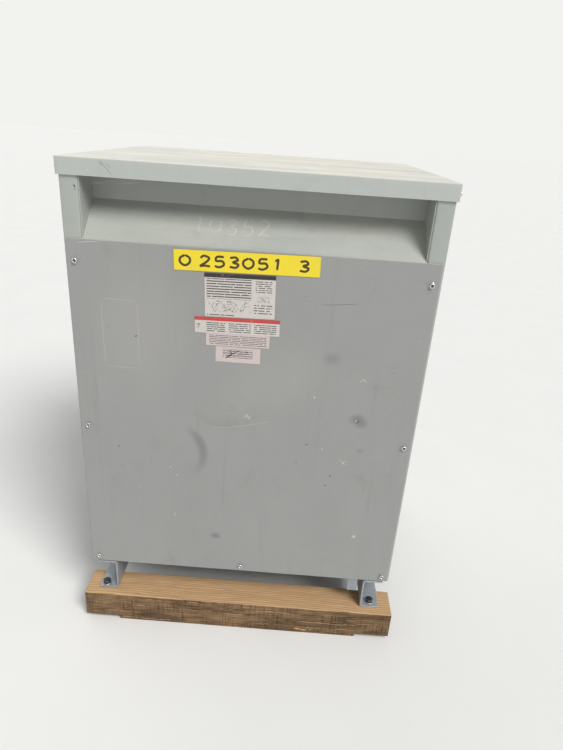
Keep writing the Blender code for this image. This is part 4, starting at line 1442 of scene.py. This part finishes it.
def ruled_rows(spot, box, rows, share, broken, seed):
    """Rows of thin ruled dashes inside a box; broken sets how often a row is interrupted."""
    count = spot[1] * (rows / (box[3] - box[1]))
    line = count.math("FRACT").math("LESS_THAN", share)
    dash = put(count.tree, "CombineXYZ", [spot[0] * 26.0, count.math("FLOOR"), seed])
    return box_mask(spot, box) * line * cloud(dash, 1.0, 1.0, 0.5).math("GREATER_THAN", broken)


def squiggles(spot, place, box, scale):
    """Thin wandering lines inside a box: where a noise crosses its middle value."""
    field = cloud(place, scale, 2.0, 0.6, 0.4)
    return box_mask(spot, box) * (field - 0.5).math("ABSOLUTE").math("LESS_THAN", 0.016)


def rim_mask(share, width):
    """1 at both ends of a share, eased to 0 within the given width."""
    return spread((share - 0.5).math("ABSOLUTE"), 0.5 - width, 0.5)


def sticker_material(name, looks, colour, bands=(), rows=(), drawn=(), fade=0.2, roughness=0.42):
    """Film or paper with plain bands, ruled dashes and drawn lines, scuffed, with painted shade along its
    rim.
    """
    material, shader, place = new_material(name)
    spot = attribute(place, "across"), attribute(place, "up")
    mottle = cloud(place, 22.0, 6.0, 0.7, 0.4)
    layers = [(box_mask(spot, box), band_colour) for box, band_colour in bands]
    layers += [(ruled_rows(spot, *row) * strength, looks.ink_colour) for *row, strength in rows]
    layers += [(squiggles(spot, place, *lines) * strength, looks.ink_colour) for *lines, strength in drawn]
    scuff = streak(place, (90.0, 90.0, 30.0), 5.0, 0.7, turn=(0.0, 0.5, 0.0))
    layers.append((spread(scuff, 0.56, 0.70) * fade, srgb(176, 170, 160)))
    # Darker rim: painted shade along the sticker's edge
    rim = rim_mask(spot[0], 0.008).math("MAXIMUM", rim_mask(spot[1], 0.03))
    layers.append((rim * 0.35, srgb(120, 108, 92)))
    shown = layered(toned(colour, around(mottle, 0.14)), *layers)
    fill(shader, {"Base Color": shown, "Roughness": mottle * 0.2 + roughness,
                  "Normal": bump(mottle, 0.0002, 0.5)})
    return material


def mark_material(name, looks):
    """Chips and scuffs: from dark grime to pale primer by each flake's own tone, thin at their rims."""
    material, shader, place = new_material(name)
    mottle = cloud(place, 700.0, 3.0, 0.6)
    flake = blend(attribute(place, "tone"), srgb(66, 63, 60), srgb(206, 203, 196))
    cover = spread(attribute(place, "core"), 0.0, 0.35) * spread(mottle, 0.25, 0.60, 0.45, 1.0)
    fill(shader, {"Base Color": blend(cover, looks.cover_colour, flake),
                  "Roughness": spread(mottle, 0.2, 0.8, 0.4, 0.7), "Normal": bump(mottle, 0.0001, 0.6)})
    return material


def chalk_material(name, looks, paint):
    """Chalk that catches only the crests of the paint, so its strokes are broken and faint."""
    material, shader, place = new_material(name)
    grain = cloud(place, 850.0, 3.0, 0.7)
    cover = spread(grain, 0.36, 0.58) * spread(cloud(place, 60.0, 4.0, 0.6), 0.25, 0.6, 0.45, 1.0)
    fill(shader, {"Base Color": blend(cover, paint, looks.chalk_colour),
                  "Roughness": spread(grain, 0.2, 0.8, 0.85, 0.98)})
    return material


# Stage


def build_stage(looks):
    """Wide pale floor, room light that the camera sees as a backdrop, two wide suns and the camera."""
    scene = bpy.context.scene
    sides, inner, outer = 48, 0.5, 60.0
    radius = np.concatenate([[0.0], np.geomspace(inner, outer, 16)])[:, None]
    angle = 2 * math.pi * np.arange(sides) / sides
    points = np.stack([radius * np.cos(angle), radius * np.sin(angle), radius * np.zeros(sides)], -1)
    mesh = bpy.data.meshes.new("floor")
    mesh.from_pydata(points.reshape(-1, 3).tolist(), [], quad_rows(len(radius), sides, True).tolist())
    floor = bpy.data.objects.new("floor", mesh)
    scene.collection.objects.link(floor)
    material, shader, place = new_material("pale floor")
    speckle = cloud(place, 3.0, 5.0, 0.6)
    shown = blend(spread(speckle, 0.3, 0.7, 0.0, 0.06), looks.floor_colour, srgb(205, 204, 200))
    fill(shader, {"Base Color": shown, "Roughness": spread(speckle, 0.3, 0.7, 0.75, 0.85)})
    mesh.materials.append(material)

    world = bpy.data.worlds.new("room")
    scene.world = world
    world.use_nodes = True
    tree = world.node_tree
    even = tree.nodes["Background"]
    fill(even, {"Color": (0.96, 0.98, 1.0), "Strength": looks.room_light})
    seen = put(tree, "Background", {"Color": looks.sky_colour, "Strength": 1.0})
    camera_ray, glossy_ray, transmission_ray = (
        put(tree, "LightPath", output="Is " + ray + " Ray") for ray in ("Camera", "Glossy", "Transmission"))
    sight = camera_ray.math("MAXIMUM", glossy_ray).math("MAXIMUM", transmission_ray)
    shown = put(tree, "MixShader", [sight, Signal(even.outputs[0]), seen])
    fill(tree.nodes["World Output"], {"Surface": shown})

    for name, heading, elevation, width, power in (
            ("key", 40.0, 47.0, 26.0, looks.key_power), ("fill", -140.0, 35.0, 70.0, looks.fill_power)):
        lamp = bpy.data.lights.new(name, "SUN")
        lamp.angle = math.radians(width)
        lamp.energy = power
        holder = bpy.data.objects.new(name, lamp)
        holder.rotation_euler = (math.radians(90.0 - elevation), 0.0, math.radians(heading))
        scene.collection.objects.link(holder)

    lens = bpy.data.cameras.new("camera")
    lens.lens = looks.lens
    lens.sensor_width = 36.0
    lens.clip_start = 0.05
    camera = bpy.data.objects.new("camera", lens)
    camera.location = looks.camera_place
    camera.rotation_euler = looks.camera_turn
    scene.collection.objects.link(camera)
    scene.camera = camera
    scene.view_settings.view_transform = "Standard"


# Operators


class TRANSFORMER_OT_lid(bpy.types.Operator):
    """Make the lid pan and its enamel"""

    bl_idname = "transformer.lid"
    bl_label = "Lid"

    def execute(self, context):
        looks = context.scene.transformer_sheets
        paint = enamel("lid enamel", looks, looks.lid_colour, 0.40, runs=0.12, specks=0.35,
                       smudges=0.10, dust=0.88, wear=0.75)
        build_lid(looks, paint)
        return {"FINISHED"}


class TRANSFORMER_OT_side_walls(bpy.types.Operator):
    """Make the side walls with their posts"""

    bl_idname = "transformer.side_walls"
    bl_label = "Side walls"

    def execute(self, context):
        looks = context.scene.transformer_sheets
        paint = enamel("body enamel", looks, looks.body_colour, 0.42, tone=0.12, runs=0.22, smudges=0.22,
                       wear=0.8, scratches=0.5)
        build_side_walls(looks, paint)
        return {"FINISHED"}


class TRANSFORMER_OT_covers(bpy.types.Operator):
    """Make the front and rear covers"""

    bl_idname = "transformer.covers"
    bl_label = "Covers"

    def execute(self, context):
        looks = context.scene.transformer_sheets
        top = corners_of("front_cover")[1][2]
        dark, pale = srgb(92, 92, 98), srgb(196, 190, 178)
        # Dark rings round the screws: painted shade where each head meets the sheet
        shade_around_screws = [((x, z), (0.0125, 0.0125), 0.0, 0.55, dark) for x, z in COVER_SCREWS]
        arcs = [((-0.182, top - 0.512), 0.079, 0.017, (-0.110, top - 0.487), (0.055, 0.100), 0.42, dark)]
        blots = [((0.262, top - 0.381), (0.026, 0.018), 0.3, 0.44, dark),
                 ((0.273, top - 0.392), (0.024, 0.020), 0.0, 0.40, dark),
                 ((0.1885, top - 0.232), (0.030, 0.022), 0.2, 0.26, dark),
                 ((0.2800, top - 0.468), (0.014, 0.010), 0.0, 0.24, dark),
                 ((-0.0694, top - 0.7585), (0.019, 0.013), 0.0, 0.50, dark),
                 ((0.060, top - 0.300), (0.170, 0.110), 0.5, 0.10, pale),
                 ((-0.250, top - 0.180), (0.150, 0.190), 0.0, 0.12, pale)]
        rear_blots = [((0.16, top - 0.55), (0.070, 0.050), 0.4, 0.16, dark),
                      ((-0.22, top - 0.34), (0.110, 0.060), -0.3, 0.14, pale),
                      ((-0.10, top - 0.70), (0.018, 0.012), 0.2, 0.36, dark)]
        wear = {"tone": 0.16, "specks": 0.35, "wear": 0.85, "scratches": 0.5}
        front = enamel("cover enamel", looks, looks.cover_colour, 0.36, runs=0.28, smudges=0.26,
                       blots=blots + shade_around_screws, arcs=arcs, **wear)
        rear = enamel("rear cover enamel", looks, looks.cover_colour, 0.38, runs=0.30, smudges=0.28,
                      blots=rear_blots + shade_around_screws, **wear)
        build_cover("front_cover_sheet", "front_cover", NO_TURN, looks, front)
        build_cover("rear_cover_sheet", "rear_cover", HALF_TURN, looks, rear)
        return {"FINISHED"}


class TRANSFORMER_OT_inner_sheets(bpy.types.Operator):
    """Make the deflectors, the sills and the hanging tab"""

    bl_idname = "transformer.inner_sheets"
    bl_label = "Deflectors, sills and tab"

    def execute(self, context):
        looks = context.scene.transformer_sheets
        colours = context.scene.transformer_fasteners
        paint = enamel("inner enamel", looks, looks.body_colour, 0.46, tone=0.14, runs=0.18, smudges=0.30,
                       dust=0.28, wear=0.6, scratches=0.3)
        zinc = plated("mottled tab zinc", colours.zinc_colour, 0.55, 0.45, 0.6, 0.25, 260.0)
        build_deflectors(paint)
        build_recess_ends(paint)
        build_sills_and_tab(paint, zinc)
        return {"FINISHED"}


class TRANSFORMER_OT_feet(bpy.types.Operator):
    """Make the base rails, whose ends are the feet, with their lag bolts and washers"""

    bl_idname = "transformer.feet"
    bl_label = "Feet and lag bolts"

    def execute(self, context):
        sizes = context.scene.transformer_fasteners
        rail = plated("rail zinc", sizes.zinc_colour, 0.45, 0.44, 0.35, 0.12, 150.0, wear=0.8)
        lag = plated("lag steel", sizes.lag_colour, 0.8, 0.38, 0.15, 0.35, 300.0, wear=0.6)
        washer = plated("washer zinc", srgb(150, 152, 152), 0.8, 0.34, 0.30, 0.15, 300.0, wear=0.6)
        build_rails(rail)
        build_lag_bolts(sizes, lag, washer)
        return {"FINISHED"}


class TRANSFORMER_OT_screws(bpy.types.Operator):
    """Make the hex washer screws of the covers and the lid"""

    bl_idname = "transformer.screws"
    bl_label = "Screws"

    def execute(self, context):
        sizes = context.scene.transformer_fasteners
        bright = plated("screw zinc", sizes.screw_colour, 0.9, 0.24, 0.10, 0.06, 420.0, peel=0.00004)
        build_screws(sizes, bright)
        return {"FINISHED"}


class TRANSFORMER_OT_timbers(bpy.types.Operator):
    """Make the two rough skid timbers"""

    bl_idname = "transformer.timbers"
    bl_label = "Skid timbers"

    def execute(self, context):
        looks = context.scene.transformer_timbers
        front = timber_material("front timber", looks, (-0.455, 0.155), 0.3)
        rear = timber_material("rear timber", looks, (0.300, -0.070), 1.7)
        build_timber("front_timber", "skid_beam_front", 101, looks, front)
        build_timber("rear_timber", "skid_beam_rear", 202, looks, rear)
        return {"FINISHED"}


class TRANSFORMER_OT_core_and_coils(bpy.types.Operator):
    """Dress the core, its clamps and pads, and make the wound coils"""

    bl_idname = "transformer.core_and_coils"
    bl_label = "Core and coils"

    def execute(self, context):
        looks = context.scene.transformer_inner
        sheets = context.scene.transformer_sheets
        dress_node("core", lamination_material("core laminations", looks), 0.0006)
        clamp = enamel("clamp enamel", sheets, looks.clamp_colour, 0.48, dust=0.8, wear=0.6)
        for place in ("lower_clamp_front", "lower_clamp_rear", "upper_clamp_front", "upper_clamp_rear"):
            dress_node(place, clamp, 0.0006)
        rubber = plain_material("pad rubber", srgb(38, 38, 38), 0.75, 160.0, 0.0003)
        board = plain_material("insulating board", looks.board_colour, 0.62, 75.0, 0.0003)
        winding = winding_material("varnished windings", looks)
        for depth in ("front", "rear"):
            for side in ("left", "right"):
                dress_node("pad_" + depth + "_" + side, rubber, 0.0010)
            for side in ("left", "middle", "right"):
                dress_node("coil_block_" + side + "_" + depth, board, 0.0008)
        for side in ("left", "middle", "right"):
            build_coil("wound_coil_" + side, "coil_" + side, looks, winding)
        return {"FINISHED"}


class TRANSFORMER_OT_stickers(bpy.types.Operator):
    """Lay the plain and ruled stickers on the front cover"""

    bl_idname = "transformer.stickers"
    bl_label = "Stickers"

    def execute(self, context):
        looks = context.scene.transformer_stickers
        sheets = context.scene.transformer_sheets
        paper, rosy = looks.paper_colour, srgb(204, 190, 186)
        finishes = [
            sticker_material("yellow film", looks, looks.yellow_colour, fade=0.12, roughness=0.34),
            sticker_material(
                "ruled plate", looks, paper, bands=[((0.0, 0.90, 1.0, 1.0), looks.ink_colour)],
                rows=[((0.03, 0.42, 0.66, 0.88), 8, 0.42, 0.38, 1.0, 0.95),
                      ((0.72, 0.58, 0.95, 0.86), 6, 0.40, 0.45, 2.0, 0.9),
                      ((0.70, 0.10, 0.96, 0.34), 4, 0.38, 0.46, 4.0, 0.85),
                      ((0.03, 0.03, 0.42, 0.07), 1, 0.6, 0.42, 3.0, 0.8)],
                drawn=[((0.06, 0.12, 0.66, 0.38), 95.0, 0.9), ((0.74, 0.38, 0.92, 0.52), 160.0, 0.9)]),
            sticker_material(
                "banded paper", looks, paper, bands=[((0.0, 0.78, 1.0, 1.0), looks.band_colour)],
                rows=[((0.14, 0.08, 0.36, 0.70), 5, 0.42, 0.42, 5.0, 0.90),
                      ((0.40, 0.08, 0.66, 0.70), 5, 0.42, 0.42, 6.0, 0.85),
                      ((0.70, 0.08, 0.96, 0.70), 5, 0.42, 0.42, 7.0, 0.90)]),
            sticker_material(
                "ruled paper", looks, rosy, rows=[((0.05, 0.12, 0.95, 0.90), 6, 0.40, 0.41, 8.0, 0.80)]),
            sticker_material(
                "small paper", looks, rosy, rows=[((0.16, 0.30, 0.84, 0.86), 4, 0.40, 0.42, 9.0, 0.85)],
                drawn=[((0.30, 0.32, 0.72, 0.82), 120.0, 0.9)]),
        ]
        for row, layer, finish in zip(STICKERS, STICKER_LAYERS, finishes):
            build_sticker(row, layer, looks, sheets, finish)
        print_ink = plain_material("dark print", srgb(66, 56, 26), 0.4, 300.0, 0.0001)
        build_sticker_number(sheets, print_ink)
        pen = plain_material("pen ink", srgb(40, 38, 42), 0.5, 300.0, 0.0001)
        build_pen_strokes(sheets, pen)
        return {"FINISHED"}


class TRANSFORMER_OT_marks(bpy.types.Operator):
    """Add the chips, the scratches, the torn web and the chalk number"""

    bl_idname = "transformer.marks"
    bl_label = "Marks of use"

    def execute(self, context):
        sheets = context.scene.transformer_sheets
        chips = mark_material("chipped enamel", sheets)
        build_cover_marks("front_cover_chips", NO_TURN, COVER_MARKS, 61, sheets, chips)
        build_cover_marks("rear_cover_chips", HALF_TURN, (), 67, sheets, chips)
        build_cover_strokes(sheets, chips)
        build_chalk(chalk_material("chalk", context.scene.transformer_stickers, sheets.body_colour))
        scratch = plain_material("flange scratch", srgb(128, 131, 128), 0.5, 600.0, 0.0001)
        web = plain_material("torn web", srgb(150, 152, 150), 0.8, 400.0, 0.0001)
        build_lid_scratch(scratch, web)
        return {"FINISHED"}


class TRANSFORMER_OT_stage(bpy.types.Operator):
    """Set the floor, the lights and the camera"""

    bl_idname = "transformer.stage"
    bl_label = "Stage"

    def execute(self, context):
        build_stage(context.scene.transformer_stage)
        return {"FINISHED"}


class TRANSFORMER_PT_pieces(bpy.types.Panel):
    """Sidebar list of the pieces, in the order in which they are made"""

    bl_idname = "TRANSFORMER_PT_pieces"
    bl_label = "Transformer"
    bl_space_type = "VIEW_3D"
    bl_region_type = "UI"
    bl_category = "Transformer"

    def draw(self, context):
        for operator in OPERATORS:
            self.layout.operator(operator.bl_idname)
        for label, _ in SETTINGS:
            box = self.layout.box()
            settings = getattr(context.scene, label)
            for name in settings.bl_rna.properties.keys():
                if name not in ("rna_type", "name"):
                    box.prop(settings, name)


OPERATORS = (TRANSFORMER_OT_lid, TRANSFORMER_OT_side_walls, TRANSFORMER_OT_covers,
             TRANSFORMER_OT_inner_sheets, TRANSFORMER_OT_feet, TRANSFORMER_OT_screws,
             TRANSFORMER_OT_timbers, TRANSFORMER_OT_core_and_coils, TRANSFORMER_OT_stickers,
             TRANSFORMER_OT_marks, TRANSFORMER_OT_stage)
SETTINGS = (("transformer_sheets", SheetLooks), ("transformer_fasteners", FastenerLooks),
            ("transformer_timbers", TimberLooks), ("transformer_stickers", StickerLooks),
            ("transformer_inner", InnerLooks), ("transformer_stage", StageLooks))


def register():
    """Register the settings, the operators and the panel."""
    for label, group in SETTINGS:
        bpy.utils.register_class(group)
        setattr(bpy.types.Scene, label, PointerProperty(type=group))
    for operator in OPERATORS:
        bpy.utils.register_class(operator)
    bpy.utils.register_class(TRANSFORMER_PT_pieces)


def unregister():
    """Remove what register added."""
    bpy.utils.unregister_class(TRANSFORMER_PT_pieces)
    for operator in reversed(OPERATORS):
        bpy.utils.unregister_class(operator)
    for label, group in reversed(SETTINGS):
        delattr(bpy.types.Scene, label)
        bpy.utils.unregister_class(group)


def main():
    """Make every piece."""
    register()
    for operator in OPERATORS:
        family, name = operator.bl_idname.split(".")
        getattr(getattr(bpy.ops, family), name)()


if __name__ == "__main__":
    main()
